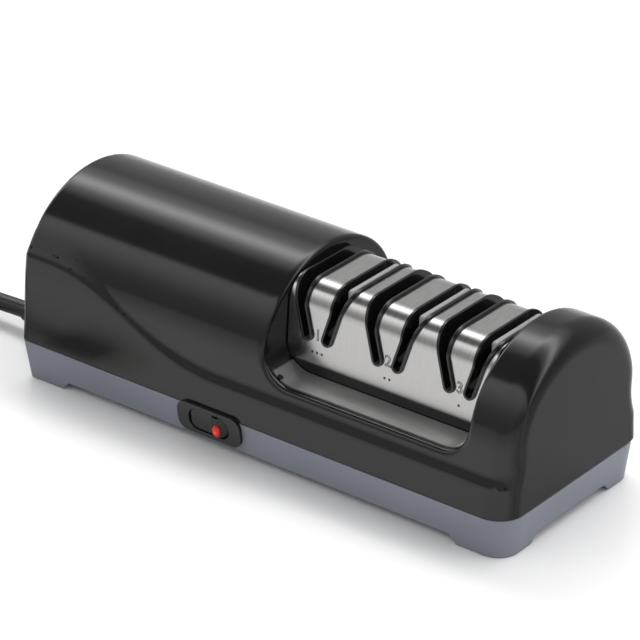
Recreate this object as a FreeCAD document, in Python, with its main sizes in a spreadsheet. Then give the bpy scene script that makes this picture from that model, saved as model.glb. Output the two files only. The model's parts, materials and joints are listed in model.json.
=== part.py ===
import FreeCAD, Part
import math
import os
import Sketcher
from FreeCAD import Placement, Rotation, Vector

# Electric knife sharpener with three slotted stages.
# Millimetres. X runs along the length, with the end cap at +X and the lead at -X.
# The switch is at the front, -Y, and Z is up from the rubber pads.

document = FreeCAD.newDocument("knife_sharpener")
sheet = document.addObject("Spreadsheet::Sheet", "sizes")


# Sizes: each one is a number that can be calculated with and the expression that gives it.
class Size:
    def __init__(self, number, text):
        self.number = float(number)
        self.text = text

    def __add__(self, other):
        other = as_size(other)
        return Size(self.number + other.number, "(%s + %s)" % (self.text, other.text))

    def __sub__(self, other):
        other = as_size(other)
        return Size(self.number - other.number, "(%s - %s)" % (self.text, other.text))

    def __mul__(self, other):
        other = as_size(other)
        return Size(self.number * other.number, "(%s * %s)" % (self.text, other.text))

    def __truediv__(self, other):
        other = as_size(other)
        return Size(self.number / other.number, "(%s / %s)" % (self.text, other.text))

    def __radd__(self, other):
        return as_size(other) + self

    def __rsub__(self, other):
        return as_size(other) - self

    def __rmul__(self, other):
        return as_size(other) * self

    def __neg__(self):
        return Size(-self.number, "(0 - %s)" % self.text)


def as_size(value):
    return value if isinstance(value, Size) else Size(value, repr(float(value)))


def tan(angle):
    return Size(math.tan(math.radians(angle.number)), "tan(%s * 1 deg)" % angle.text)


def cos(angle):
    return Size(math.cos(math.radians(angle.number)), "cos(%s * 1 deg)" % angle.text)


def sin(angle):
    return Size(math.sin(math.radians(angle.number)), "sin(%s * 1 deg)" % angle.text)


row_of_next_size = [1]


def size(alias, value):
    """Write one driving dimension to the sheet and hand it back."""
    cell = "A%d" % row_of_next_size[0]
    sheet.set(cell, str(value))
    sheet.setAlias(cell, alias)
    row_of_next_size[0] += 1
    return Size(value, "sizes." + alias)


# Base and housing
body_length = size("body_length", 250.0)
body_width = size("body_width", 95.3)
parting_height = size("parting_height", 18.6)
parting_groove = size("parting_groove", 0.6)
parting_groove_depth = size("parting_groove_depth", 0.9)
base_taper = size("base_taper", 2.4)
pad_stand = size("pad_stand", 0.3)
foot_height = size("foot_height", 4.3)
foot_slope = size("foot_slope", 4.0)
left_foot_length = size("left_foot_length", 17.9)
right_foot_length = size("right_foot_length", 22.2)
foot_width = size("foot_width", 17.8)
base_wall = size("base_wall", 2.6)
base_floor = size("base_floor", 2.2)
left_corner = size("left_corner", 2.5)
right_corner = size("right_corner", 12.0)
left_corner_foot = size("left_corner_foot", 1.5)
right_corner_foot = size("right_corner_foot", 9.6)
inner_corner = size("inner_corner", 7.0)
apron_draft = size("apron_draft", 5.2)
dome_half_width = size("dome_half_width", 45.3)
dome_draft = size("dome_draft", 1.8)
shoulder_radius = size("shoulder_radius", 36.0)
crown_radius = size("crown_radius", 50.0)
housing_top = size("housing_top", 83.9)
housing_wall = size("housing_wall", 2.4)
dome_end_round = size("dome_end_round", 9.7)
swoosh_top = size("swoosh_top", 58.6)
swoosh_bottom = size("swoosh_bottom", 32.5)
swoosh_start = size("swoosh_start", -105.5)
swoosh_finish = size("swoosh_finish", -40.3)
swoosh_shoulder = size("swoosh_shoulder", 85.0)
swoosh_hollow = size("swoosh_hollow", 105.0)
ledge_slope = size("ledge_slope", 48.0)
swoosh_stand_off = size("swoosh_stand_off", 6.0)
swoosh_sink = size("swoosh_sink", 1.5)

# Saddle opening, guide module and steel cover
opening_left = size("opening_left", 1.8)
opening_right = size("opening_right", 102.8)
opening_floor = size("opening_floor", 39.3)
opening_corner = size("opening_corner", 13.0)
lip_round = size("lip_round", 2.3)
module_gap = size("module_gap", 0.5)
cover_front = size("cover_front", 28.9)
cover_lean = size("cover_lean", 4.0)
cover_lean_back = size("cover_lean_back", 14.0)
cover_back = size("cover_back", 17.0)
cover_top = size("cover_top", 78.6)
cover_round_front = size("cover_round_front", 10.5)
cover_round_back = size("cover_round_back", 12.0)
cover_tuck = size("cover_tuck", 1.6)
cover_tuck_height = size("cover_tuck_height", 6.0)
cover_tuck_round = size("cover_tuck_round", 6.0)
cover_sheet = size("cover_sheet", 0.8)
module_wall = size("module_wall", 1.6)
pocket_margin = size("pocket_margin", 3.0)
pocket_back_margin = size("pocket_back_margin", 6.0)
stage_pitch = size("stage_pitch", 35.0)
stage_count = 3
slot_foot = size("slot_foot", 4.9)
slot_foot_height = size("slot_foot_height", 57.4)
slot_width = size("slot_width", 3.2)
slot_angle = size("slot_angle", 16.5)
slot_upright_height = size("slot_upright_height", 69.5)
rim_width = size("rim_width", 1.0)
rim_proud = size("rim_proud", 1.0)
rim_gap = size("rim_gap", 0.08)
rail_width = size("rail_width", 2.6)
rail_top = size("rail_top", 76.4)
rail_foot = size("rail_foot", 70.5)
rail_front = size("rail_front", 20.0)
rail_back = size("rail_back", 11.0)
rail_round = size("rail_round", 1.0)
deck_sheet = size("deck_sheet", 0.6)
deck_margin = size("deck_margin", 3.4)
deck_gap = size("deck_gap", 0.3)
deck_rise = size("deck_rise", 4.6)

# Spindle, discs and springs
spindle_height = size("spindle_height", 44.0)
spindle_offset = size("spindle_offset", -1.5)
spindle_radius = size("spindle_radius", 4.0)
spindle_flat = size("spindle_flat", 3.2)
spindle_left = size("spindle_left", -112.0)
spindle_right = size("spindle_right", 116.0)
disc_radius = size("disc_radius", 23.5)
disc_face = size("disc_face", 5.4)
disc_rim = size("disc_rim", 2.6)
disc_dish_radius = size("disc_dish_radius", 17.0)
disc_web = size("disc_web", 1.2)
hub_radius = size("hub_radius", 7.5)
hub_bore = size("hub_bore", 6.0)
hub_gap = size("hub_gap", 1.5)
disc_fit = size("disc_fit", 0.05)
spring_radius = size("spring_radius", 5.1)
spring_wire = size("spring_wire", 0.9)
spring_turns = 3
clip_radius = size("clip_radius", 6.4)
clip_thickness = size("clip_thickness", 0.8)
clip_gap = size("clip_gap", 0.05)
chamber_radius = size("chamber_radius", 24.7)
chamber_half_width = size("chamber_half_width", 7.4)
window_margin = size("window_margin", 7.0)
window_front = size("window_front", 25.4)
window_back = size("window_back", 23.0)

# Bearings
bush_radius = size("bush_radius", 7.0)
bush_length = size("bush_length", 8.0)
bush_fit = size("bush_fit", 0.04)
bracket_plate = size("bracket_plate", 3.0)
bracket_half_width = size("bracket_half_width", 20.0)
bracket_half_height = size("bracket_half_height", 11.0)
bracket_boss = size("bracket_boss", 10.5)
bracket_boss_length = size("bracket_boss_length", 7.0)
small_screw_radius = size("small_screw_radius", 1.5)
small_head_radius = size("small_head_radius", 3.0)
small_head_height = size("small_head_height", 2.0)
strap_head_radius = size("strap_head_radius", 2.7)
bracket_screw_reach = size("bracket_screw_reach", 15.5)

# Motor
motor_radius = size("motor_radius", 27.0)
motor_wall = size("motor_wall", 1.6)
motor_left = size("motor_left", -98.0)
motor_right = size("motor_right", -28.0)
bell_thickness = size("bell_thickness", 3.0)
bell_boss_radius = size("bell_boss_radius", 9.0)
bell_boss_length = size("bell_boss_length", 6.0)
magnet_thickness = size("magnet_thickness", 5.0)
magnet_length = size("magnet_length", 42.0)
magnet_middle = size("magnet_middle", -56.0)
magnet_gap_half = size("magnet_gap_half", 7.0)
rotor_radius = size("rotor_radius", 19.6)
rotor_length = size("rotor_length", 38.0)
rotor_slot_width = size("rotor_slot_width", 2.6)
rotor_slot_depth = size("rotor_slot_depth", 7.0)
rotor_slot_count = 12
winding_radius = size("winding_radius", 15.0)
winding_thickness = size("winding_thickness", 4.5)
commutator_radius = size("commutator_radius", 8.5)
commutator_length = size("commutator_length", 12.0)
commutator_middle = size("commutator_middle", -87.0)
brush_width = size("brush_width", 5.0)
brush_gap = size("brush_gap", 0.2)
brush_length = size("brush_length", 9.0)
brush_case_wall = size("brush_case_wall", 1.0)
brush_case_start = size("brush_case_start", 3.0)
fan_left = size("fan_left", -19.5)
fan_width = size("fan_width", 9.0)
fan_radius = size("fan_radius", 24.0)
fan_hub_radius = size("fan_hub_radius", 8.0)
fan_disc = size("fan_disc", 1.6)
fan_blade = size("fan_blade", 1.6)
fan_blade_count = 9
cradle_width = size("cradle_width", 66.0)
cradle_rib = size("cradle_rib", 6.0)
cradle_foot = size("cradle_foot", 3.0)
cradle_rise = size("cradle_rise", 27.0)
cradle_rail = size("cradle_rail", 10.0)
cradle_inset = size("cradle_inset", 14.0)
strap_sheet = size("strap_sheet", 1.2)
strap_width = size("strap_width", 10.0)
strap_screw_reach = size("strap_screw_reach", 30.0)
strap_screw_length = size("strap_screw_length", 10.0)

# Rectifier board
board_left = size("board_left", -16.0)
board_front = size("board_front", 18.0)
board_length = size("board_length", 30.0)
board_width = size("board_width", 20.0)
board_sheet = size("board_sheet", 1.6)
board_stand = size("board_stand", 3.0)
board_inset = size("board_inset", 3.0)
board_leg_radius = size("board_leg_radius", 1.5)
bridge_left = size("bridge_left", 4.0)
bridge_front = size("bridge_front", 5.0)
bridge_length = size("bridge_length", 5.0)
bridge_width = size("bridge_width", 11.0)
bridge_height = size("bridge_height", 8.0)
reservoir_radius = size("reservoir_radius", 5.0)
reservoir_height = size("reservoir_height", 12.0)
reservoir_left = size("reservoir_left", 22.0)
reservoir_front = size("reservoir_front", 10.0)

# Base screws and pads
screw_inset_x = size("screw_inset_x", 13.0)
screw_inset_y = size("screw_inset_y", 12.5)
screw_radius = size("screw_radius", 1.9)
screw_head_radius = size("screw_head_radius", 3.6)
screw_head_height = size("screw_head_height", 2.6)
screw_seat = size("screw_seat", 6.0)
screw_tip = size("screw_tip", 32.0)
post_radius = size("post_radius", 4.4)
pad_radius = size("pad_radius", 5.2)
pad_depth = size("pad_depth", 2.6)
well_radius = size("well_radius", 4.2)
vent_count = 6
vent_pitch = size("vent_pitch", 5.4)
vent_width = size("vent_width", 2.6)
vent_length = size("vent_length", 26.0)
vent_middle = size("vent_middle", -63.0)

# Rocker switch, in the plane of the base's front wall
switch_middle = size("switch_middle", -22.6)
switch_height = size("switch_height", 13.1)
bezel_length = size("bezel_length", 32.8)
bezel_height = size("bezel_height", 14.0)
bezel_corner = size("bezel_corner", 5.0)
bezel_proud = size("bezel_proud", 1.5)
window_length = size("window_length", 21.0)
window_height = size("window_height", 10.0)
window_corner = size("window_corner", 4.4)
sleeve_length = size("sleeve_length", 26.0)
sleeve_height = size("sleeve_height", 12.4)
sleeve_depth = size("sleeve_depth", 9.0)
sleeve_gap = size("sleeve_gap", 0.15)
rocker_gap = size("rocker_gap", 0.35)
rocker_proud = size("rocker_proud", 1.0)
rocker_crest = size("rocker_crest", 2.6)
rocker_sunk = size("rocker_sunk", 1.4)
rocker_ridge = size("rocker_ridge", 4.0)
rocker_pivot_depth = size("rocker_pivot_depth", 2.0)
rocker_depth = size("rocker_depth", 4.2)
rocker_pin_radius = size("rocker_pin_radius", 1.2)
rocker_pin_fit = size("rocker_pin_fit", 0.06)
lens_across = size("lens_across", 4.4)
lens_drop = size("lens_drop", 1.5)
lens_half_width = size("lens_half_width", 2.0)
lens_half_height = size("lens_half_height", 2.8)
lens_half_depth = size("lens_half_depth", 1.2)
lens_sunk = size("lens_sunk", 0.5)
case_length = size("case_length", 24.0)
case_height = size("case_height", 10.6)
case_depth = size("case_depth", 12.0)
terminal_width = size("terminal_width", 4.8)
terminal_sheet = size("terminal_sheet", 0.8)
terminal_length = size("terminal_length", 8.0)
terminal_pitch = size("terminal_pitch", 7.0)

# Lead, coil and plug
lead_radius = size("lead_radius", 3.75)
lead_offset = size("lead_offset", -15.0)
lead_height = size("lead_height", 9.7)
relief_length = size("relief_length", 26.0)
relief_root_radius = size("relief_root_radius", 5.3)
relief_tip_radius = size("relief_tip_radius", 4.6)
relief_neck_radius = size("relief_neck_radius", 4.6)
relief_lock_width = size("relief_lock_width", 13.0)
relief_lock_height = size("relief_lock_height", 8.0)
relief_lock = size("relief_lock", 2.0)
relief_groove = size("relief_groove", 0.6)
relief_groove_width = size("relief_groove_width", 1.2)
relief_groove_count = 5
lead_dip = size("lead_dip", 0.55)
lead_dip_reach = size("lead_dip_reach", 19.0)
lead_rest = size("lead_rest", 12.0)
coil_radius = size("coil_radius", 45.6)
coil_step = size("coil_step", 8.05)
coil_half_turns = 4
coil_start = size("coil_start", -200.0)
plug_run = size("plug_run", 13.0)
plug_tail = size("plug_tail", 26.0)
plug_shift = size("plug_shift", 5.0)
plug_axis_height = size("plug_axis_height", 6.2)
plug_length = size("plug_length", 28.0)
plug_width = size("plug_width", 24.0)
plug_thickness = size("plug_thickness", 12.4)
plug_round = size("plug_round", 3.0)
plug_neck_length = size("plug_neck_length", 12.0)
plug_neck_radius = size("plug_neck_radius", 5.2)
plug_neck_end_radius = size("plug_neck_end_radius", 4.4)
plug_neck_sunk = size("plug_neck_sunk", 3.0)
blade_spacing = size("blade_spacing", 12.7)
blade_height = size("blade_height", 6.3)
blade_thickness = size("blade_thickness", 1.5)
blade_length = size("blade_length", 17.0)

half_length = body_length / 2
half_width = body_width / 2
document.recompute()

ALONG_X = Rotation(Vector(0, 1, 0), 90)
ALONG_Z = Rotation()
PLANE_XY = Rotation()
PLANE_XZ = Rotation(Vector(1, 0, 0), 90)
PLANE_YZ = Rotation(Vector(1, 1, 1), 120)


def add(kind, name):
    """A new object with its own label."""
    thing = document.addObject(kind, name)
    thing.Label = name
    return thing


def bind(thing, **values):
    """Tie an object's properties to the sheet."""
    for key, value in values.items():
        thing.setExpression(key, as_size(value).text)


def place(thing, x, y, z, turn=ALONG_Z):
    """Turn an object and tie its position to the sheet."""
    spot = [as_size(x), as_size(y), as_size(z)]
    thing.Placement = Placement(Vector(*[value.number for value in spot]), turn)
    for letter, value in zip("xyz", spot):
        thing.setExpression("Placement.Base." + letter, value.text)
    return thing


def box(name, low, high):
    """A block between two corners."""
    thing = add("Part::Box", name)
    spans = [as_size(b) - as_size(a) for a, b in zip(low, high)]
    bind(thing, Length=spans[0], Width=spans[1], Height=spans[2])
    return place(thing, *low)


def cylinder(name, radius, length, start, turn=ALONG_Z):
    thing = add("Part::Cylinder", name)
    bind(thing, Radius=radius, Height=length)
    return place(thing, *start, turn=turn)


def cone(name, first_radius, last_radius, length, start, turn=ALONG_Z):
    thing = add("Part::Cone", name)
    bind(thing, Radius1=first_radius, Radius2=last_radius, Height=length)
    return place(thing, *start, turn=turn)


def fuse(name, *parts):
    if len(parts) == 1:
        return parts[0]
    thing = add("Part::MultiFuse", name)
    thing.Shapes = list(parts)
    return thing


def cut(name, base, *tools):
    thing = add("Part::Cut", name)
    thing.Base = base
    thing.Tool = fuse(name + "_tool", *tools)
    return thing


def common(name, first, second):
    thing = add("Part::Common", name)
    thing.Base = first
    thing.Tool = second
    return thing


def gather(name, *parts):
    """Separate solids kept together as one group."""
    thing = add("Part::Compound", name)
    thing.Links = list(parts)
    return thing


def extrude(name, sketch, length, back=0.0, direction=None):
    """Extrude a sketch along its normal, or along a direction, both ways where back is given."""
    thing = add("Part::Extrusion", name)
    thing.Base = sketch
    if direction is None:
        thing.DirMode = "Normal"
    else:
        thing.DirMode = "Custom"
        thing.Dir = direction
    thing.Solid = True
    bind(thing, LengthFwd=length, LengthRev=back)
    return thing


def mirror(name, source, normal):
    thing = add("Part::Mirroring", name)
    thing.Source = source
    thing.Normal = normal
    return thing


def round_edges(name, base, radius, wanted):
    """Fillet the edges of base that wanted picks."""
    document.recompute()
    edges = base.Shape.Edges
    picked = [i + 1 for i, edge in enumerate(edges) if wanted(edge)]
    if not picked:
        raise ValueError("no edges to round in " + name)
    thing = add("Part::Fillet", name)
    thing.Base = base
    radius = as_size(radius).number
    thing.Edges = [(i, radius, radius) for i in picked]
    return thing


def points_of(edge, count=5):
    first, last = edge.ParameterRange
    return [edge.valueAt(first + (last - first) * k / (count - 1)) for k in range(count)]


# Sketches
def pin_point(sketch, item, end, x, y):
    """Fix a point of a sketch by its two distances from the origin."""
    for kind, value in (("DistanceX", as_size(x)), ("DistanceY", as_size(y))):
        if value.number < 0:
            value = -value
            rule = Sketcher.Constraint(kind, item, end, -1, 1, value.number)
        else:
            rule = Sketcher.Constraint(kind, -1, 1, item, end, value.number)
        number = sketch.addConstraint(rule)
        sketch.setExpression("Constraints[%d]" % number, value.text)


def fix_radius(sketch, item, radius):
    number = sketch.addConstraint(Sketcher.Constraint("Radius", item, radius.number))
    sketch.setExpression("Constraints[%d]" % number, radius.text)


def new_sketch(name, plane, at=(0.0, 0.0, 0.0)):
    sketch = add("Sketcher::SketchObject", name)
    place(sketch, *at, turn=plane)
    return sketch


def flat(x, y):
    return Vector(x, y, 0)


def arc_between(start, end, centre, counterclockwise):
    """Arc geometry about centre from start to end, and whether start is its first end."""
    first, last = (start, end) if counterclockwise else (end, start)
    a = math.atan2(first.y - centre.y, first.x - centre.x)
    b = math.atan2(last.y - centre.y, last.x - centre.x)
    if b < a:
        b += 2 * math.pi
    ring = Part.Circle(centre, Vector(0, 0, 1), (start - centre).Length)
    return Part.ArcOfCircle(ring, a, b), counterclockwise


def outline(name, plane, corners, at=(0.0, 0.0, 0.0)):
    """A closed outline through corners (x, y, round), each corner kept by its two distances."""
    sketch = new_sketch(name, plane, at)
    corners = [tuple(as_size(v) for v in corner) for corner in corners]
    spots = [flat(x.number, y.number) for x, y, r in corners]
    count = len(spots)
    joints = []
    for i in range(count):
        here, before, after = spots[i], spots[i - 1], spots[(i + 1) % count]
        to_before, to_after = (before - here).normalize(), (after - here).normalize()
        half = to_before.getAngle(to_after) / 2
        radius = corners[i][2].number
        reach = radius / math.tan(half)
        arrive, leave = here + to_before * reach, here + to_after * reach
        middle = here + (to_before + to_after).normalize() * (radius / math.sin(half))
        left_turn = to_before.cross(to_after).z < 0
        joints.append((arrive, leave, middle, left_turn))
    lines = [sketch.addGeometry(Part.LineSegment(joints[i][1], joints[(i + 1) % count][0]))
             for i in range(count)]
    for i, (x, y, radius) in enumerate(corners):
        arrive, leave, middle, left_turn = joints[i]
        incoming, outgoing = lines[i - 1], lines[i]
        if radius.number == 0:
            sketch.addConstraint(Sketcher.Constraint("Coincident", incoming, 2, outgoing, 1))
            pin_point(sketch, outgoing, 1, x, y)
            continue
        corner = sketch.addGeometry(Part.Point(spots[i]), True)
        pin_point(sketch, corner, 1, x, y)
        for line in (incoming, outgoing):
            sketch.addConstraint(Sketcher.Constraint("PointOnObject", corner, 1, line))
        shape, forward = arc_between(arrive, leave, middle, left_turn)
        arc = sketch.addGeometry(shape)
        start, end = (1, 2) if forward else (2, 1)
        sketch.addConstraint(Sketcher.Constraint("Tangent", incoming, 2, arc, start))
        sketch.addConstraint(Sketcher.Constraint("Tangent", outgoing, 1, arc, end))
        fix_radius(sketch, arc, radius)
    return sketch


def rectangle(name, plane, low, high, corner=0.0, at=(0.0, 0.0, 0.0)):
    """A rectangle, with the same round at its four corners."""
    return outline(name, plane, [(low[0], low[1], corner), (high[0], low[1], corner),
                                 (high[0], high[1], corner), (low[0], high[1], corner)], at)


def arch_outline(name, inset, at):
    """The dome's section across the length: drafted sides, two shoulder arcs and a crown arc."""
    sketch = new_sketch(name, PLANE_YZ, at)
    foot = dome_half_width - inset / cos(dome_draft)
    shoulder, crown = shoulder_radius - inset, crown_radius - inset
    lean = math.radians(dome_draft.number)
    across, up = Vector(math.cos(lean), math.sin(lean), 0), Vector(-math.sin(lean), math.cos(lean), 0)
    start = flat(foot.number, parting_height.number)
    crown_middle = flat(0, housing_top.number - crown_radius.number)
    from_crown = start - across * shoulder.number - crown_middle
    along = from_crown.dot(up)
    spare = from_crown.dot(from_crown) - (crown.number - shoulder.number) ** 2
    rise = -along + math.sqrt(along * along - spare)
    shoulder_middle = start - across * shoulder.number + up * rise
    side_end = start + up * rise
    out = (shoulder_middle - crown_middle).normalize()
    meet = crown_middle + out * crown.number

    def other(point):
        return Vector(-point.x, point.y, 0)

    right = sketch.addGeometry(Part.LineSegment(start, side_end))
    turn = [(side_end, meet, shoulder_middle), (meet, other(meet), crown_middle),
            (other(meet), other(side_end), other(shoulder_middle))]
    arcs = [sketch.addGeometry(arc_between(a, b, c, True)[0]) for a, b, c in turn]
    left = sketch.addGeometry(Part.LineSegment(other(side_end), other(start)))
    bottom = sketch.addGeometry(Part.LineSegment(other(start), start))
    for first, second in ((right, arcs[0]), (arcs[0], arcs[1]), (arcs[1], arcs[2]), (arcs[2], left)):
        sketch.addConstraint(Sketcher.Constraint("Tangent", first, 2, second, 1))
    for first, second in ((left, bottom), (bottom, right)):
        sketch.addConstraint(Sketcher.Constraint("Coincident", first, 2, second, 1))
    pin_point(sketch, right, 1, foot, parting_height)
    pin_point(sketch, left, 2, -foot, parting_height)
    lean_height = 10.0
    for line, side in ((right, 1), (left, -1)):
        mark = sketch.addGeometry(Part.Point(flat(side * foot.number, 0)), True)
        pin_point(sketch, mark, 1, (foot - lean_height * tan(dome_draft)) * side,
                  parting_height + lean_height)
        sketch.addConstraint(Sketcher.Constraint("PointOnObject", mark, 1, line))
    for arc, radius in zip(arcs, (shoulder, crown, shoulder)):
        fix_radius(sketch, arc, radius)
    pin_point(sketch, arcs[1], 3, 0.0, housing_top - crown_radius)
    return sketch


def arch_solid(name, inset, left_end, right_end, left_round, right_round):
    """The dome's section drawn out along X, with its two ends rounded."""
    section = arch_outline(name + "_section", inset, (left_end, 0.0, 0.0))
    solid = extrude(name + "_bar", section, right_end - left_end)
    foot_level = parting_height.number

    def at_end(edge, x):
        return all(abs(p.x - x) < 1e-6 for p in points_of(edge)) and \
            max(p.z for p in points_of(edge)) > foot_level + 1e-6

    solid = round_edges(name + "_right_round", solid, right_round,
                        lambda edge: at_end(edge, right_end.number))
    if left_round is not None:
        solid = round_edges(name + "_left_round", solid, left_round,
                            lambda edge: at_end(edge, left_end.number))
    return solid


# Base shell
def base_outline(name, inset, left_round, right_round, height):
    x, y = half_length - inset, half_width - inset
    return outline(name, PLANE_XY, [(-x, -y, left_round), (x, -y, right_round),
                                    (x, y, right_round), (-x, y, left_round)],
                   at=(0.0, 0.0, height))


screw_spots = [(side_x, side_y) for side_x in (-1, 1) for side_y in (-1, 1)]
screw_x = half_length - screw_inset_x
screw_y = half_width - screw_inset_y
base_tilt = Size(math.degrees(math.atan(base_taper.number / parting_height.number)),
                 "(atan(%s / %s) / 1 deg)" % (base_taper.text, parting_height.text))


def at_screws(name, radius, low, high, make=cylinder):
    return [make("%s_%d" % (name, i + 1), radius, high - low, (screw_x * sx, screw_y * sy, low))
            for i, (sx, sy) in enumerate(screw_spots)]


def in_switch(thing, x, depth, rise, quarter=0):
    """Place a thing in the switch's own axes: along the wall, into the wall and up the wall."""
    wall = half_width - base_taper * (1 - switch_height / parting_height)
    thing.Placement = Placement(Vector(), Rotation(Vector(1, 0, 0), quarter + base_tilt.number))
    x, depth, rise = as_size(x), as_size(depth), as_size(rise)
    thing.setExpression("Placement.Rotation.Angle", (base_tilt + quarter).text)
    thing.setExpression("Placement.Base.x", (switch_middle + x).text)
    thing.setExpression("Placement.Base.y", (depth * cos(base_tilt) - rise * sin(base_tilt) - wall).text)
    thing.setExpression("Placement.Base.z",
                        (switch_height + depth * sin(base_tilt) + rise * cos(base_tilt)).text)
    return thing


def switch_block(name, low, high):
    thing = add("Part::Box", name)
    low, high = [as_size(v) for v in low], [as_size(v) for v in high]
    bind(thing, Length=high[0] - low[0], Width=high[1] - low[1], Height=high[2] - low[2])
    return in_switch(thing, *low)


def switch_plate(name, length, height, corner, front, back):
    """A rounded plate from depth front to depth back."""
    sketch = rectangle(name + "_outline", PLANE_XY, (-length / 2, -height / 2), (length / 2, height / 2), corner)
    in_switch(sketch, 0.0, back, 0.0, 90)
    return extrude(name, sketch, back - front)


def switch_pin(name, radius, low, high):
    """A pivot pin up the wall, on the rocker's axis."""
    thing = add("Part::Cylinder", name)
    bind(thing, Radius=radius, Height=high - low)
    return in_switch(thing, 0.0, rocker_pivot_depth, low)


def switch_doorway(name):
    """The opening for the switch's sleeve."""
    gap = sleeve_gap
    return switch_block(name, (-sleeve_length / 2 - gap, -bezel_proud, -sleeve_height / 2 - gap),
                        (sleeve_length / 2 + gap, base_wall * 2 + base_taper, sleeve_height / 2 + gap))


def make_base_shell():
    lower = base_outline("base_lower_outline", base_taper, left_corner_foot, right_corner_foot, 0.0)
    upper = base_outline("base_upper_outline", 0.0, left_corner, right_corner, parting_height)
    form = add("Part::Loft", "base_form")
    form.Sections = [lower, upper]
    form.Solid = True
    form.Ruled = True
    keel = box("base_keel", (-half_length, -half_width, 0.0), (half_length, half_width, pad_stand))
    inner = base_taper + base_wall
    hollow = extrude("base_hollow", base_outline("base_hollow_outline", inner, inner_corner,
                                                 inner_corner, foot_height + base_floor),
                     parting_height)
    left, right = half_length - base_taper - left_foot_length, half_length - base_taper - right_foot_length
    side = half_width - base_taper - foot_width
    arch_x = extrude("base_arch_front", outline("base_arch_front_outline", PLANE_XZ, [
        (-left, 0.0, 0.0), (right, 0.0, 0.0), (right - foot_slope, foot_height, 0.0),
        (-left + foot_slope, foot_height, 0.0)], at=(0.0, half_width, 0.0)), body_width)
    arch_y = extrude("base_arch_side", outline("base_arch_side_outline", PLANE_YZ, [
        (-side, 0.0, 0.0), (side, 0.0, 0.0), (side - foot_slope, foot_height, 0.0),
        (-side + foot_slope, foot_height, 0.0)], at=(-half_length, 0.0, 0.0)), body_length)
    shade = cut("base_parting_band",
                box("base_parting_block", (-half_length - 1, -half_width - 1, parting_height - parting_groove),
                    (half_length + 1, half_width + 1, parting_height + 1)),
                extrude("base_parting_core",
                        base_outline("base_parting_outline", parting_groove_depth, left_corner,
                                     right_corner - parting_groove_depth, parting_height - 2), as_size(5.0)))
    shell = cut("base_tray", form, keel, hollow, arch_x, arch_y, shade)
    posts = at_screws("base_post", post_radius, foot_height, parting_height)
    shell = fuse("base_tray_with_posts", shell, *posts)
    holes = at_screws("base_screw_hole", screw_radius + 0.2, 0.0, parting_height + 1)
    wells = at_screws("base_screw_well", well_radius, 0.0, screw_seat)
    sockets = at_screws("base_pad_socket", pad_radius, 0.0, pad_depth)
    vents = [box("base_vent_%d" % (i + 1),
                 (vent_middle + vent_pitch * (i - (vent_count - 1) / 2) - vent_width / 2,
                  -vent_length / 2, 0.0),
                 (vent_middle + vent_pitch * (i - (vent_count - 1) / 2) + vent_width / 2,
                  vent_length / 2, parting_height)) for i in range(vent_count)]
    doorway = switch_doorway("base_switch_opening")
    neck = cylinder("base_lead_hole", relief_neck_radius, 3 * base_wall,
                    (-half_length - base_wall / 2, lead_offset, lead_height), ALONG_X)
    root = -half_length + base_taper * (1 - lead_height / parting_height)
    seat = cylinder("base_relief_seat", relief_root_radius + 0.1, base_wall,
                    (root - base_wall, lead_offset, lead_height), ALONG_X)
    return cut("base_shell", shell, *holes, *wells, *sockets, *vents, doorway, neck, seat)


def make_pads_and_screws():
    gather("rubber_pads", *at_screws("rubber_pad", pad_radius, as_size(0.0), pad_depth))
    screws = []
    for i, (sx, sy) in enumerate(screw_spots):
        x, y = screw_x * sx, screw_y * sy
        head = cylinder("base_screw_head_%d" % (i + 1), screw_head_radius, screw_head_height,
                        (x, y, screw_seat - screw_head_height))
        shank = cylinder("base_screw_shank_%d" % (i + 1), screw_radius, screw_tip - screw_seat,
                         (x, y, screw_seat))
        screws.append(fuse("base_screw_%d" % (i + 1), head, shank))
    gather("base_screws", *screws)


# Upper housing
def opening_outline(name, margin, at):
    """The saddle opening seen from the front, widened by margin."""
    corner = opening_corner + margin
    low, high = opening_floor - margin, housing_top + 10
    return outline(name, PLANE_XZ, [(opening_left - margin, low, corner), (opening_right + margin, low, corner),
                                    (opening_right + margin, high, 0.0), (opening_left - margin, high, 0.0)], at)


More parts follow.
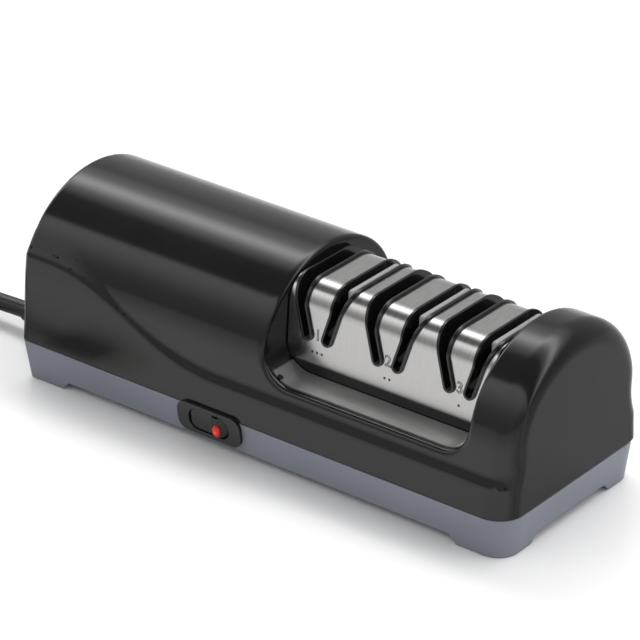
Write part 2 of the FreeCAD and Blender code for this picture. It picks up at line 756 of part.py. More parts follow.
def make_housing():
    dome = arch_solid("dome", as_size(0.0), -half_length, half_length, left_corner, dome_end_round)
    rise = swoosh_top + 10 - parting_height
    narrow = half_width - rise * tan(apron_draft)
    flank = extrude("apron_bar", outline("apron_section", PLANE_YZ, [
        (-half_width, parting_height, 0.0), (half_width, parting_height, 0.0),
        (narrow, parting_height + rise, 0.0), (-narrow, parting_height + rise, 0.0)],
        at=(-half_length, 0.0, 0.0)), body_length)

    def upright_at(edge, x):
        spots = points_of(edge)
        return all(abs(p.x - x) < 1e-6 for p in spots) and abs(spots[0].z - spots[-1].z) > 1

    flank = round_edges("apron_right_round", flank, right_corner,
                        lambda edge: upright_at(edge, half_length.number))
    flank = round_edges("apron_left_round", flank, left_corner,
                        lambda edge: upright_at(edge, -half_length.number))
    reach = half_width
    climb = Vector(0, math.cos(math.radians(ledge_slope.number)), math.sin(math.radians(ledge_slope.number)))
    drop = swoosh_stand_off * tan(ledge_slope)
    start, finish = -half_length - 5, half_length + 5
    front = outline("swoosh_outline", PLANE_XZ, [
        (start, -reach, 0.0), (finish, -reach, 0.0), (finish, swoosh_bottom - drop, 0.0),
        (swoosh_finish, swoosh_bottom - drop, swoosh_hollow),
        (swoosh_start, swoosh_top - drop, swoosh_shoulder), (start, swoosh_top - drop, 0.0)],
        at=(0.0, -half_width + swoosh_sink - swoosh_stand_off, 0.0))
    near = extrude("swoosh_front", front, (half_width + 4) / cos(ledge_slope), direction=climb)
    far = mirror("swoosh_back", near, Vector(0, 1, 0))
    apron = common("apron", flank, fuse("swoosh", near, far))
    form = fuse("housing_form", dome, apron)
    opening = extrude("saddle_opening", opening_outline("saddle_outline", as_size(0.0),
                                                        (0.0, half_width, 0.0)), body_width)
    form = cut("housing_saddled", form, opening)
    low, high = opening_left.number, opening_right.number
    floor = opening_floor.number

    def on_lip(edge):
        spots = points_of(edge, 7)
        inside = all(low - 0.01 <= p.x <= high + 0.01 and p.z >= floor - 0.01 for p in spots)
        crossing = max(p.y for p in spots) - min(p.y for p in spots) > body_width.number / 2 and \
            abs(spots[3].z - spots[0].z) < 1e-3
        return inside and not crossing

    form = round_edges("housing_lipped", form, lip_round, on_lip)
    wall = housing_wall
    hollow = arch_solid("hollow", wall, -half_length + wall, half_length - wall, None,
                        dome_end_round - wall)
    saddle = extrude("saddle_block", opening_outline("saddle_block_outline", wall,
                                                     (0.0, half_width, 0.0)), body_width)
    hollow = cut("housing_hollow", hollow, saddle)
    form = cut("housing_shell", form, hollow)
    posts = common("housing_posts", fuse("housing_post_bars",
                   *at_screws("housing_post", post_radius, parting_height, housing_top)),
                   arch_solid("post_limit", wall / 2, -half_length + wall / 2, half_length - wall / 2,
                              None, dome_end_round - wall / 2))
    form = fuse("housing_with_posts", form, posts)
    pilots = at_screws("housing_pilot", screw_radius, parting_height - 1, screw_tip + 1)
    window = box("housing_window", (opening_left + window_margin, -window_front, opening_floor - 2 * wall),
                 (opening_right - window_margin, window_back, opening_floor + 1))
    bore = cylinder("housing_bore", bush_radius + 0.2, opening_right - opening_left + 4 * wall,
                    (opening_left - 2 * wall, spindle_offset, spindle_height), ALONG_X)
    bracket_holes = [cylinder("housing_bracket_hole_%d" % (i + 1), small_screw_radius,
                              opening_right - opening_left + 4 * wall,
                              (opening_left - 2 * wall, spindle_offset + side * bracket_screw_reach,
                               spindle_height), ALONG_X) for i, side in enumerate((-1, 1))]
    return cut("upper_housing", form, *pilots, window, bore, *bracket_holes,
               switch_doorway("housing_switch_opening"))


# Steel cover and guide module
def cover_profile(name, inset, at):
    """The bent section of the cover, seen from its end, drawn in by inset."""
    front_low, back_low = opening_floor, opening_floor
    front = -cover_front + inset / cos(cover_lean)
    back = cover_back + (cover_top - opening_floor) * tan(cover_lean_back) - inset / cos(cover_lean_back)
    top = cover_top - inset
    front_rise, back_rise = top - front_low, top - back_low
    tuck_level = front_low + cover_tuck_height
    tuck_front = front + cover_tuck_height * tan(cover_lean)
    return outline(name, PLANE_YZ, [
        (front + cover_tuck, front_low, 0.0),
        (tuck_front, tuck_level, cover_tuck_round),
        (front + front_rise * tan(cover_lean), top, cover_round_front - inset),
        (back - back_rise * tan(cover_lean_back), top, cover_round_back - inset),
        (back, back_low, 0.0)][::-1], at)


def module_bar(name, inset, low_x, high_x, corner):
    """The cover's section drawn out along X, with rounded lower corners seen from the front."""
    bar = extrude(name + "_bar", cover_profile(name + "_section", inset, (low_x, 0.0, 0.0)),
                  high_x - low_x)
    frame = extrude(name + "_frame", outline(name + "_frame_outline", PLANE_XZ, [
        (low_x, opening_floor, corner), (high_x, opening_floor, corner),
        (high_x, housing_top, 0.0), (low_x, housing_top, 0.0)],
        at=(0.0, half_width, 0.0)), body_width)
    return common(name, bar, frame)


def stage_middle(index):
    return (opening_left + opening_right) / 2 + stage_pitch * (index - (stage_count - 1) / 2)


def slot_outline(name, middle, side, spread, at):
    """One slot seen from the front: slanting out from a round foot, wider above the upright height."""
    half = (slot_width / 2 + spread) / cos(slot_angle)
    foot_round = slot_width / 2 + spread
    low = slot_foot_height - foot_round
    high = housing_top
    upright = slot_upright_height
    spots = [
        (slot_foot - half + (low - slot_foot_height) * tan(slot_angle), low, foot_round * 0.96),
        (slot_foot + half + (low - slot_foot_height) * tan(slot_angle), low, foot_round * 0.96),
        (slot_foot + half + (high - slot_foot_height) * tan(slot_angle), high, 0.0),
        (slot_foot - half + (upright - slot_foot_height) * tan(slot_angle), high, 0.0),
        (slot_foot - half + (upright - slot_foot_height) * tan(slot_angle), upright, 5.0)]
    corners = [(middle + x * side, z, r) for x, z, r in spots]
    return outline(name, PLANE_XZ, corners if side > 0 else corners[::-1], at)


def slots(name, spread):
    """The six slot forms, drawn through from front to back."""
    forms = []
    for index in range(stage_count):
        for side, word in ((-1, "left"), (1, "right")):
            label = "%s_%d_%s" % (name, index + 1, word)
            sketch = slot_outline(label + "_outline", stage_middle(index), side, spread,
                                  (0.0, half_width, 0.0))
            forms.append(extrude(label, sketch, body_width))
    return forms


def make_module_and_cover():
    low_x, high_x = opening_left + module_gap, opening_right - module_gap
    corner = opening_corner - module_gap
    skin = module_bar("cover_skin", as_size(0.0), low_x, high_x, corner)
    core = module_bar("cover_core", cover_sheet, low_x - 1, high_x + 1, corner)
    sheet_form = cut("cover_sheet_form", skin, core)
    cut("steel_cover", sheet_form, *slots("cover_slot", rim_width + rim_gap))
    body = module_bar("module_body", cover_sheet, low_x, high_x, corner)
    rim_reach = module_bar("rim_reach", -rim_proud, low_x, high_x, corner)
    rims = common("slot_rims", fuse("rim_bars", *slots("rim_bar", rim_width)), rim_reach)
    chambers = [cylinder("chamber_%d" % (i + 1), chamber_radius, 2 * chamber_half_width,
                         (stage_middle(i) - chamber_half_width, spindle_offset, spindle_height), ALONG_X)
                for i in range(stage_count)]
    chamber_mouths = [box("chamber_mouth_%d" % (i + 1),
                          (stage_middle(i) - chamber_half_width, -window_front, opening_floor - 1),
                          (stage_middle(i) + chamber_half_width, window_back, spindle_height))
                      for i in range(stage_count)]
    shaft_way = cylinder("module_shaft_way", bush_radius + 0.2, high_x - low_x + 2,
                         (low_x - 1, spindle_offset, spindle_height), ALONG_X)
    pockets = [box("module_pocket_%d" % (i + 1),
                   (stage_middle(i) + chamber_half_width + module_wall + pocket_margin,
                    -window_front + module_wall, opening_floor - 1),
                   (stage_middle(i + 1) - chamber_half_width - module_wall - pocket_margin,
                    window_back - module_wall - pocket_back_margin, slot_upright_height - pocket_back_margin))
               for i in range(stage_count - 1)]
    return cut("guide_module", fuse("module_form", body, rims), *slots("slot", as_size(0.0)),
               *chambers, *chamber_mouths, shaft_way, *pockets)


def make_rails():
    """A guide rail along the outer wall of each stage's right slot."""
    half = slot_width / 2 / cos(slot_angle)

    def wall_at(index, height):
        return stage_middle(index) + slot_foot + half + (height - slot_foot_height) * tan(slot_angle)

    rails = []
    for index in range(stage_count):
        low, high = wall_at(index, rail_foot), wall_at(index, rail_top)
        label = "blade_rail_%d" % (index + 1)
        sketch = outline(label + "_outline", PLANE_XZ, [
            (low - rail_width * 0.3, rail_foot, 0.0), (low, rail_foot, 0.0), (high, rail_top, 0.0),
            (high - rail_width, rail_top, rail_round)], (0.0, rail_back, 0.0))
        rails.append(extrude(label, sketch, rail_back + rail_front))
    gather("blade_rails", *rails)


def make_decks():
    """Steel trays on the recess floor, in front of and behind the module, turned up at their ends."""
    rim = dome_half_width - (opening_floor - parting_height) * tan(dome_draft)
    module_front = cover_front - cover_tuck
    module_back = cover_back + (cover_top - opening_floor) * tan(cover_lean_back)
    clear = module_bar("deck_clearance", -deck_gap, opening_left, opening_right, opening_corner)
    for name, near, far in (("deck_plate_front", -rim + deck_margin, -module_front - deck_gap),
                            ("deck_plate_back", module_back + deck_gap, rim - deck_margin)):
        outer, inner = [extrude("%s_%s" % (name, word), opening_outline(
            "%s_%s_outline" % (name, word), -margin, (0.0, far, 0.0)), far - near)
            for word, margin in (("outer", as_size(0.0)), ("inner", deck_sheet))]
        band = box(name + "_band", (opening_left, near, opening_floor),
                   (opening_right, far, opening_floor + deck_rise))
        common(name, cut(name + "_tray", outer, inner, clear), band)


# Spindle group
def ring(name, outer, inner, start, length):
    """A tube along X."""
    solid = cylinder(name + "_outer", outer, length, (start, spindle_offset, spindle_height), ALONG_X)
    hole = cylinder(name + "_bore", inner, length + 2, (start - 1, spindle_offset, spindle_height), ALONG_X)
    return cut(name, solid, hole)


def flats(name, half_height, start, length):
    """The flat-sided core that turns a disc, along X."""
    reach = spindle_radius + 2
    return box(name, (start, spindle_offset - reach, spindle_height - half_height),
               (start + length, spindle_offset + reach, spindle_height + half_height))


def make_spindle():
    bar = cylinder("spindle_bar", spindle_radius, spindle_right - spindle_left,
                   (spindle_left, spindle_offset, spindle_height), ALONG_X)
    shaves = []
    for index in range(stage_count):
        start = stage_middle(index) - disc_face - 2 * clip_thickness
        length = 2 * (disc_face + 2 * clip_thickness)
        block = box("spindle_shave_%d" % (index + 1),
                    (start, spindle_offset - 2 * spindle_radius, spindle_height - 2 * spindle_radius),
                    (start + length, spindle_offset + 2 * spindle_radius, spindle_height + 2 * spindle_radius))
        shaves.append(cut("spindle_flats_%d" % (index + 1), block,
                          flats("spindle_core_%d" % (index + 1), spindle_flat, start, length)))
    cut("drive_spindle", bar, *shaves)
    clips = []
    for index in range(stage_count):
        for side in (-1, 1):
            edge = stage_middle(index) + (disc_face + clip_gap) * side
            start = edge if side > 0 else edge - clip_thickness
            clips.append(cut("clip_%d" % (len(clips) + 1),
                             cylinder("clip_disc_%d" % (len(clips) + 1), clip_radius, clip_thickness,
                                      (start, spindle_offset, spindle_height), ALONG_X),
                             common("clip_hole_%d" % (len(clips) + 1),
                                    cylinder("clip_bore_%d" % (len(clips) + 1), spindle_radius,
                                             clip_thickness + 2,
                                             (start - 1, spindle_offset, spindle_height), ALONG_X),
                                    flats("clip_core_%d" % (len(clips) + 1), spindle_flat,
                                          start - 1, clip_thickness + 2))))
    gather("retaining_clips", *clips)


def make_disc(name, index, side):
    """One dished abrasive disc with its hub turned towards the middle of the stage."""
    middle = stage_middle(index)

    def span(inner, outer):
        """Start and length of a stretch between two distances from the stage's middle."""
        return (middle + inner if side > 0 else middle - outer), outer - inner

    def bar(label, radius, inner, outer):
        start, length = span(inner, outer)
        return cylinder(label, radius, length, (start, spindle_offset, spindle_height), ALONG_X)

    inner_face = disc_face - disc_rim
    plate = bar(name + "_plate", disc_radius, inner_face, disc_face)
    dish = cut(name + "_dish", bar(name + "_dish_bar", disc_dish_radius, inner_face - 1, disc_face - disc_web),
               bar(name + "_hub_keep", hub_radius, inner_face - 2, disc_face))
    hub = bar(name + "_hub", hub_radius, hub_gap, disc_face - disc_web / 2)
    form = fuse(name + "_form", cut(name + "_rim", plate, dish), hub)
    pocket = bar(name + "_spring_pocket", hub_bore, hub_gap - 1, disc_face - disc_web)
    start, length = span(hub_gap - 1, disc_face + 1)
    bore = common(name + "_bore",
                  cylinder(name + "_bore_round", spindle_radius + disc_fit, length,
                           (start, spindle_offset, spindle_height), ALONG_X),
                  flats(name + "_bore_flats", spindle_flat + disc_fit, start, length))
    return cut(name, form, pocket, bore)


grades = ("coarse", "fine", "polishing")


def make_discs():
    for index, grade in enumerate(grades):
        for side, word in ((-1, "left"), (1, "right")):
            make_disc("%s_disc_%s" % (grade, word), index, side)


# Bearings
def make_bearings():
    bushes, screws = [], []
    ends = (("left", opening_left - housing_wall, -1), ("right", opening_right + housing_wall, 1))
    for word, wall_face, side in ends:
        def span(inner, outer):
            return (wall_face + inner if side > 0 else wall_face - outer), outer - inner

        start, length = span(as_size(0.0), bracket_plate)
        plate = extrude("bracket_%s_plate" % word, rectangle(
            "bracket_%s_outline" % word, PLANE_YZ,
            (spindle_offset - bracket_half_width, spindle_height - bracket_half_height),
            (spindle_offset + bracket_half_width, spindle_height + bracket_half_height), 4.0,
            at=(start, 0.0, 0.0)), length)
        start, length = span(as_size(0.0), bracket_boss_length)
        boss = cylinder("bracket_%s_boss" % word, bracket_boss, length,
                        (start, spindle_offset, spindle_height), ALONG_X)
        start, length = span(as_size(-1.0), bracket_boss_length + 1)
        bore = cylinder("bracket_%s_bore" % word, bush_radius, length,
                        (start, spindle_offset, spindle_height), ALONG_X)
        holes = []
        for number, across in enumerate((-1, 1)):
            y = spindle_offset + across * bracket_screw_reach
            start, length = span(as_size(-1.0), bracket_plate + 1)
            holes.append(cylinder("bracket_%s_hole_%d" % (word, number + 1), small_screw_radius, length,
                                  (start, y, spindle_height), ALONG_X))
            start, length = span(bracket_plate, bracket_plate + small_head_height)
            head = cylinder("bracket_%s_head_%d" % (word, number + 1), small_head_radius, length,
                            (start, y, spindle_height), ALONG_X)
            start, length = span(-housing_wall, bracket_plate)
            shank = cylinder("bracket_%s_shank_%d" % (word, number + 1), small_screw_radius, length,
                             (start, y, spindle_height), ALONG_X)
            screws.append(fuse("bracket_%s_screw_%d" % (word, number + 1), head, shank))
        cut("bearing_bracket_" + word, fuse("bracket_%s_form" % word, plate, boss), bore, *holes)
        start, length = span(bracket_boss_length - bush_length, bracket_boss_length)
        bushes.append(ring("bush_" + word, bush_radius, spindle_radius + bush_fit, start, length))
    gather("bearing_bushes", *bushes)
    gather("bracket_screws", *screws)


# Motor
def spoke(name, start, length, width, near, far, number, count):
    """A block along X that stands out from the spindle's axis, one of count round it."""
    angle = 2 * math.pi * number / count
    across, up = math.cos(angle), math.sin(angle)
    thing = add("Part::Box", name)
    bind(thing, Length=length, Width=width, Height=far - near)
    return place(thing, start, spindle_offset - width / 2 * across - near * up,
                 spindle_height - width / 2 * up + near * across,
                 Rotation(Vector(1, 0, 0), math.degrees(angle)))


def make_motor():
    length = motor_right - motor_left
    ring("motor_can", motor_radius, motor_radius - motor_wall, motor_left, length)
    inner = motor_radius - motor_wall
    for name, start, boss_side in (("end_bell_brush", motor_left, -1),
                                   ("end_bell_drive", motor_right - bell_thickness, 1)):
        plate = cylinder(name + "_plate", inner, bell_thickness, (start, spindle_offset, spindle_height), ALONG_X)
        reach = bell_thickness + bell_boss_length
        boss_start = start if boss_side > 0 else start + bell_thickness - reach
        boss = cylinder(name + "_boss", bell_boss_radius, reach,
                        (boss_start, spindle_offset, spindle_height), ALONG_X)
        hole = cylinder(name + "_hole", spindle_radius + bush_fit, reach + 2,
                        (boss_start - 1, spindle_offset, spindle_height), ALONG_X)
        cut(name, fuse(name + "_form", plate, boss), hole)
    start = magnet_middle - magnet_length / 2
    sleeve = ring("magnet_sleeve", inner, inner - magnet_thickness, start, magnet_length)
    gap = box("magnet_gap", (start - 1, spindle_offset - motor_radius, spindle_height - magnet_gap_half),
              (start + magnet_length + 1, spindle_offset + motor_radius, spindle_height + magnet_gap_half))
    cut("field_magnets", sleeve, gap)
    start = magnet_middle - rotor_length / 2
    core = ring("rotor_laminations", rotor_radius, spindle_radius, start, rotor_length)
    grooves = [spoke("rotor_groove_%d" % (number + 1), start - 1, rotor_length + 2, rotor_slot_width,
                     rotor_radius - rotor_slot_depth, rotor_radius + 1, number, rotor_slot_count)
               for number in range(rotor_slot_count)]
    cut("rotor_core", core, *grooves)
    heads = []
    for word, edge, side in (("left", start, -1), ("right", start + rotor_length, 1)):
        begin = edge - winding_thickness if side < 0 else edge
        heads.append(ring("winding_head_" + word, winding_radius, spindle_radius + 2, begin, winding_thickness))
    gather("rotor_windings", *heads)
    ring("commutator", commutator_radius, spindle_radius, commutator_middle - commutator_length / 2,
         commutator_length)
    brushes, holders = [], []
    for word, side in (("front", -1), ("back", 1)):
        near = commutator_radius + brush_gap
        far = near + brush_length
        low = spindle_offset + near * side if side > 0 else spindle_offset - far
        half = brush_width / 2
        brushes.append(box("carbon_brush_" + word, (commutator_middle - half, low, spindle_height - half),
                           (commutator_middle + half, low + brush_length, spindle_height + half)))
        reach = inner - near - brush_case_start
        start = near + brush_case_start
        low = spindle_offset + start * side if side > 0 else spindle_offset - start - reach
        thick = half + brush_case_wall
        case = box("brush_case_%s_form" % word, (commutator_middle - thick, low, spindle_height - thick),
                   (commutator_middle + thick, low + reach, spindle_height + thick))
        case = common("brush_case_%s_trimmed" % word, case,
                      cylinder("brush_case_%s_limit" % word, inner, length,
                               (motor_left, spindle_offset, spindle_height), ALONG_X))
        low = spindle_offset + near * side if side > 0 else spindle_offset - far
        hole = box("brush_case_%s_hole" % word, (commutator_middle - half, low, spindle_height - half),
                   (commutator_middle + half, low + brush_length, spindle_height + half))
        holders.append(cut("brush_case_" + word, case, hole))
    gather("carbon_brushes", *brushes)
    gather("brush_holders", *holders)


def make_fan():
    wheel = cylinder("fan_wheel", fan_radius, fan_disc, (fan_left, spindle_offset, spindle_height), ALONG_X)
    hub = cylinder("fan_hub", fan_hub_radius, fan_width, (fan_left, spindle_offset, spindle_height), ALONG_X)
    blades = [spoke("fan_blade_%d" % (number + 1), fan_left, fan_width, fan_blade, fan_hub_radius - 1,
                    fan_radius - 0.5, number, fan_blade_count) for number in range(fan_blade_count)]
    form = fuse("fan_form", wheel, hub, *blades)
    cut("cooling_fan", form, cylinder("fan_bore", spindle_radius, fan_width + 4,
                                      (fan_left - 2, spindle_offset, spindle_height), ALONG_X))


def make_cradle():
    """The motor's seat on the base floor and the two straps over it."""
    floor = foot_height + base_floor
    level = floor + cradle_rise
    rib_spots = [motor_left + cradle_inset, motor_right - cradle_inset - cradle_rib]
    low_y, high_y = spindle_offset - cradle_width / 2, spindle_offset + cradle_width / 2
    rails = [box("cradle_rail_%d" % (i + 1), (rib_spots[0], y, floor),
                 (rib_spots[1] + cradle_rib, y + cradle_rail, floor + cradle_foot))
             for i, y in enumerate((low_y, high_y - cradle_rail))]
    ribs = [box("cradle_rib_%d" % (i + 1), (x, low_y, floor), (x + cradle_rib, high_y, level))
            for i, x in enumerate(rib_spots)]
    seat = cylinder("cradle_seat", motor_radius, motor_right - motor_left,
                    (motor_left, spindle_offset, spindle_height), ALONG_X)
    straps, screws, pilots = [], [], []
    for number, x in enumerate(rib_spots):
        label = "strap_%d" % (number + 1)
        start = x + (cradle_rib - strap_width) / 2
        band = ring(label + "_band", motor_radius + strap_sheet, motor_radius, start, strap_width)
        upper = box(label + "_keep", (start, low_y, level), (start + strap_width, high_y, housing_top))
        tabs = cut(label + "_tabs",
                   box(label + "_tab_bar", (start, low_y, level), (start + strap_width, high_y, level + strap_sheet)),
                   seat)
        holes = []
        for side, word in ((-1, "front"), (1, "back")):
            spot = (x + cradle_rib / 2, spindle_offset + strap_screw_reach * side, level)
            tag = "%s_%s" % (label, word)
            below = (spot[0], spot[1], level - strap_screw_length)
            shank = cylinder(tag + "_shank", small_screw_radius, strap_screw_length + strap_sheet, below)
            head = cylinder(tag + "_head", strap_head_radius, small_head_height,
                            (spot[0], spot[1], level + strap_sheet))
            screws.append(fuse(tag + "_screw", head, shank))
            holes.append(shank)
        pilots.extend(holes)
        straps.append(cut(label, fuse(label + "_form", common(label + "_arch", band, upper), tabs), *holes))
    cut("motor_cradle", fuse("cradle_form", *rails, *ribs), seat, *pilots)
    gather("motor_straps", *straps)
    gather("strap_screws", *screws)


# Rocker switch
def make_switch():
    plate = switch_plate("bezel_plate", bezel_length, bezel_height, bezel_corner, -bezel_proud, as_size(0.0))
    sleeve = switch_plate("bezel_sleeve", sleeve_length, sleeve_height, window_corner, as_size(-0.5), sleeve_depth)
    window = switch_plate("bezel_window", window_length, window_height, window_corner,
                          -bezel_proud - 1, sleeve_depth + 1)
    reach = window_height / 2
    pin_reach = reach + (sleeve_height - window_height) / 4
    pin_hole = switch_pin("bezel_pivot_hole", rocker_pin_radius + rocker_pin_fit, -pin_reach - 0.1, pin_reach + 0.1)
    cut("switch_bezel", fuse("bezel_form", plate, sleeve), window, pin_hole)
    half = window_length / 2 - rocker_gap
    height = reach - rocker_gap
    profile = outline("rocker_profile", PLANE_XY, [
        (-half, -rocker_proud, 1.0), (rocker_ridge - 3, -rocker_proud, 3.0),
        (rocker_ridge, -rocker_crest, 1.0), (half, rocker_sunk, 0.6),
        (half - 2.4, rocker_sunk + rocker_depth, 0.0), (-half + 2.4, rocker_sunk + rocker_depth, 0.0),
        (-half, rocker_sunk, 0.0)])
    in_switch(profile, 0.0, 0.0, -height)
    bar = extrude("rocker_bar", profile, height * 2)
    limit = switch_plate("rocker_limit", half * 2, height * 2, window_corner - rocker_gap,
                         -rocker_crest - 1, rocker_sunk + rocker_depth + 1)
    pin = switch_pin("rocker_pin", rocker_pin_radius, -pin_reach, pin_reach)
    lens = add("Part::Ellipsoid", "switch_lens")
    bind(lens, Radius1=lens_half_depth, Radius2=lens_half_width, Radius3=lens_half_height)
    in_switch(lens, lens_across, lens_sunk - rocker_crest, -lens_drop, 90)
    cut("switch_rocker", fuse("rocker_form", common("rocker_key", bar, limit), pin), lens)
    switch_block("switch_case", (-case_length / 2, sleeve_depth, -case_height / 2),
                 (case_length / 2, sleeve_depth + case_depth, case_height / 2))
    back = sleeve_depth + case_depth
    blades = [switch_block("switch_terminal_%d" % (i + 1),
                           (terminal_pitch * (i - 1) - terminal_sheet / 2, back, -terminal_width / 2),
                           (terminal_pitch * (i - 1) + terminal_sheet / 2, back + terminal_length,
                            terminal_width / 2))
              for i in range(3)]
    gather("switch_terminals", *blades)


# Rectifier board
def make_board():
    floor = foot_height + base_floor
    low = (board_left, board_front, floor + board_stand)
    high = (board_left + board_length, board_front + board_width, floor + board_stand + board_sheet)
    plate = box("board_plate", low, high)
    legs = [cylinder("board_leg_%d_%d" % (i, j), board_leg_radius, board_stand,
                     (board_left + board_inset + (board_length - board_inset * 2) * i,
                      board_front + board_inset + (board_width - board_inset * 2) * j, floor))
            for i in (0, 1) for j in (0, 1)]
    top = high[2]
    corner = (low[0] + bridge_left, low[1] + bridge_front, top)
    bridge = box("board_bridge", corner,
                 (corner[0] + bridge_length, corner[1] + bridge_width, top + bridge_height))
    reservoir = cylinder("board_reservoir", reservoir_radius, reservoir_height,
                         (low[0] + reservoir_left, low[1] + reservoir_front, top))
    fuse("rectifier_board", plate, *legs, bridge, reservoir)


# Springs, lead, coil and plug
def half_turn(start, heading, end, leaving):
    """Points of a smooth turn between two directions: two arcs that meet halfway."""
    chord = end - start
    both = heading + leaving
    slack = 1 - heading.dot(leaving)
    if slack < 1e-9:
        reach = chord.dot(chord) / (4 * chord.dot(heading))
    else:
        lead = chord.dot(both)
        reach = (-lead + math.sqrt(lead * lead + 2 * slack * chord.dot(chord))) / (2 * slack)
    meet = (start + end + (heading - leaving) * reach) / 2
    return [arc_from(start, heading, meet), arc_to(meet, end, leaving)]


def arc_from(start, heading, end):
    """The arc that leaves start in a direction and ends at end, or a line where it is straight."""
    chord = end - start
    axis = heading.cross(chord)
    if axis.Length < 1e-7:
        return Part.makeLine(start, end)
    inward = axis.cross(heading).normalize()
    radius = chord.dot(chord) / (2 * chord.dot(inward))
    middle = start + inward * radius
    out = (start + end) / 2 - middle
    return Part.Arc(start, middle + out.normalize() * radius, end).toShape()


def arc_to(start, end, leaving):
    piece = arc_from(end, leaving * -1, start)
    if piece.Curve.TypeId == "Part::GeomLine":
        return Part.makeLine(start, end)
    first, last = piece.ParameterRange
    return Part.Arc(start, piece.valueAt((first + last) / 2), end).toShape()


def lead_stretch():
    """The lead from the housing to the top layer of the coil."""
    x0, y, z = half_length.number - base_wall.number, lead_offset.number, lead_height.number
    tip = half_length.number + relief_length.number
    left = Vector(-1, 0, 0)
    start, leave = Vector(-x0, y, z), Vector(-tip, y, z)
    dip = Vector(-tip - lead_dip_reach.number, y, z - lead_dip.number)
    end = Vector(coil_start.number, y, lead_radius.number + coil_step.number)
    rest = end - left * lead_rest.number
    return ([Part.makeLine(start, leave)] + half_turn(leave, left, dip, left)
            + half_turn(dip, left, rest, left) + [Part.makeLine(rest, end)])


def coil_stretch():
    """Two layers of flat turns, inward on the top one and outward on the one below."""
    x, y = coil_start.number, lead_offset.number
    low = lead_radius.number
    top = low + coil_step.number
    radius, heading = coil_radius.number, -1
    inward = [radius - coil_step.number / 2 * k for k in range(coil_half_turns)]
    middle = radius - coil_step.number / 2 * coil_half_turns
    pieces = []
    for turn, drop in [(r, 0.0) for r in inward] + [(middle, top - low)] + [(r, 0.0) for r in inward[::-1]]:
        z = pieces[-1].Vertexes[-1].Point.z if pieces else top
        start = Vector(x, y, z)
        y += 2 * turn * heading
        pieces.extend(half_turn(start, Vector(heading, 0, 0), Vector(x, y, z - drop), Vector(-heading, 0, 0)))
        heading = -heading
    return pieces


def along(pieces, step=1.0):
    """Points along joined arcs, about a step apart."""
    points = []
    for piece in pieces:
        count = max(2, int(piece.Length / step))
        first, last = piece.ParameterRange
        spots = [piece.valueAt(first + (last - first) * k / count) for k in range(count)]
        if points and (spots[0] - points[-1]).Length > 2 * step:
            spots = [piece.valueAt(last + (first - last) * k / count) for k in range(count)]
        points.extend(spots)
    return points


def least_gap(pieces):
    """The least gap between any two stretches of the lead that aren't neighbours along it."""
    points = along(pieces)
    apart = int(math.pi * lead_radius.number * 3)
    nearest = min((points[i] - points[j]).Length
                  for i in range(len(points)) for j in range(i + apart, len(points)))
    return nearest - 2 * lead_radius.number


def plug_stretch(start):
    right = Vector(1, 0, 0)
    level = start + right * plug_run.number
    end = level + Vector(plug_tail.number, plug_shift.number, plug_axis_height.number - lead_radius.number)
    inside = end + right * (plug_neck_length.number / 2)
    return [Part.makeLine(start, level)] + half_turn(level, right, end, right) + [Part.makeLine(end, inside)]


def tube(name, pieces, radius):
    """A round tube along joined arcs."""
    path = Part.Wire(pieces)
    heading = pieces[0].tangentAt(pieces[0].ParameterRange[0])
    ring = Part.Wire(Part.makeCircle(radius.number, pieces[0].Vertexes[0].Point, heading))
    sweep = Part.BRepOffsetAPI.MakePipeShell(path)
    sweep.add(ring)
    sweep.build()
    sweep.makeSolid()
    thing = add("Part::Feature", name)
    thing.Shape = sweep.shape()
    thing.Placement = Placement()
    return thing


def make_springs():
    """A coil spring between the two hubs of each stage, seated in their pockets."""
    reach = (disc_face - disc_web - spring_wire / 2 - disc_fit).number
    radius = (spring_radius - spring_wire / 2).number
    rise = 2 * reach / spring_turns / (2 * math.pi)
    coils = []
    for index in range(stage_count):
        middle = Vector(stage_middle(index).number, spindle_offset.number, spindle_height.number)

        def spot(angle):
            return middle + Vector(rise * angle - reach, radius * math.cos(angle), radius * math.sin(angle))

        def heading(angle):
            return Vector(rise, -radius * math.sin(angle), radius * math.cos(angle)).normalize()

        pieces = []
        for k in range(2 * spring_turns):
            start, end = math.pi * k, math.pi * (k + 1)
            pieces.extend(half_turn(spot(start), heading(start), spot(end), heading(end)))
        coils.append(tube("spring_%d" % (index + 1), pieces, spring_wire / 2))
    gather("disc_springs", *coils)


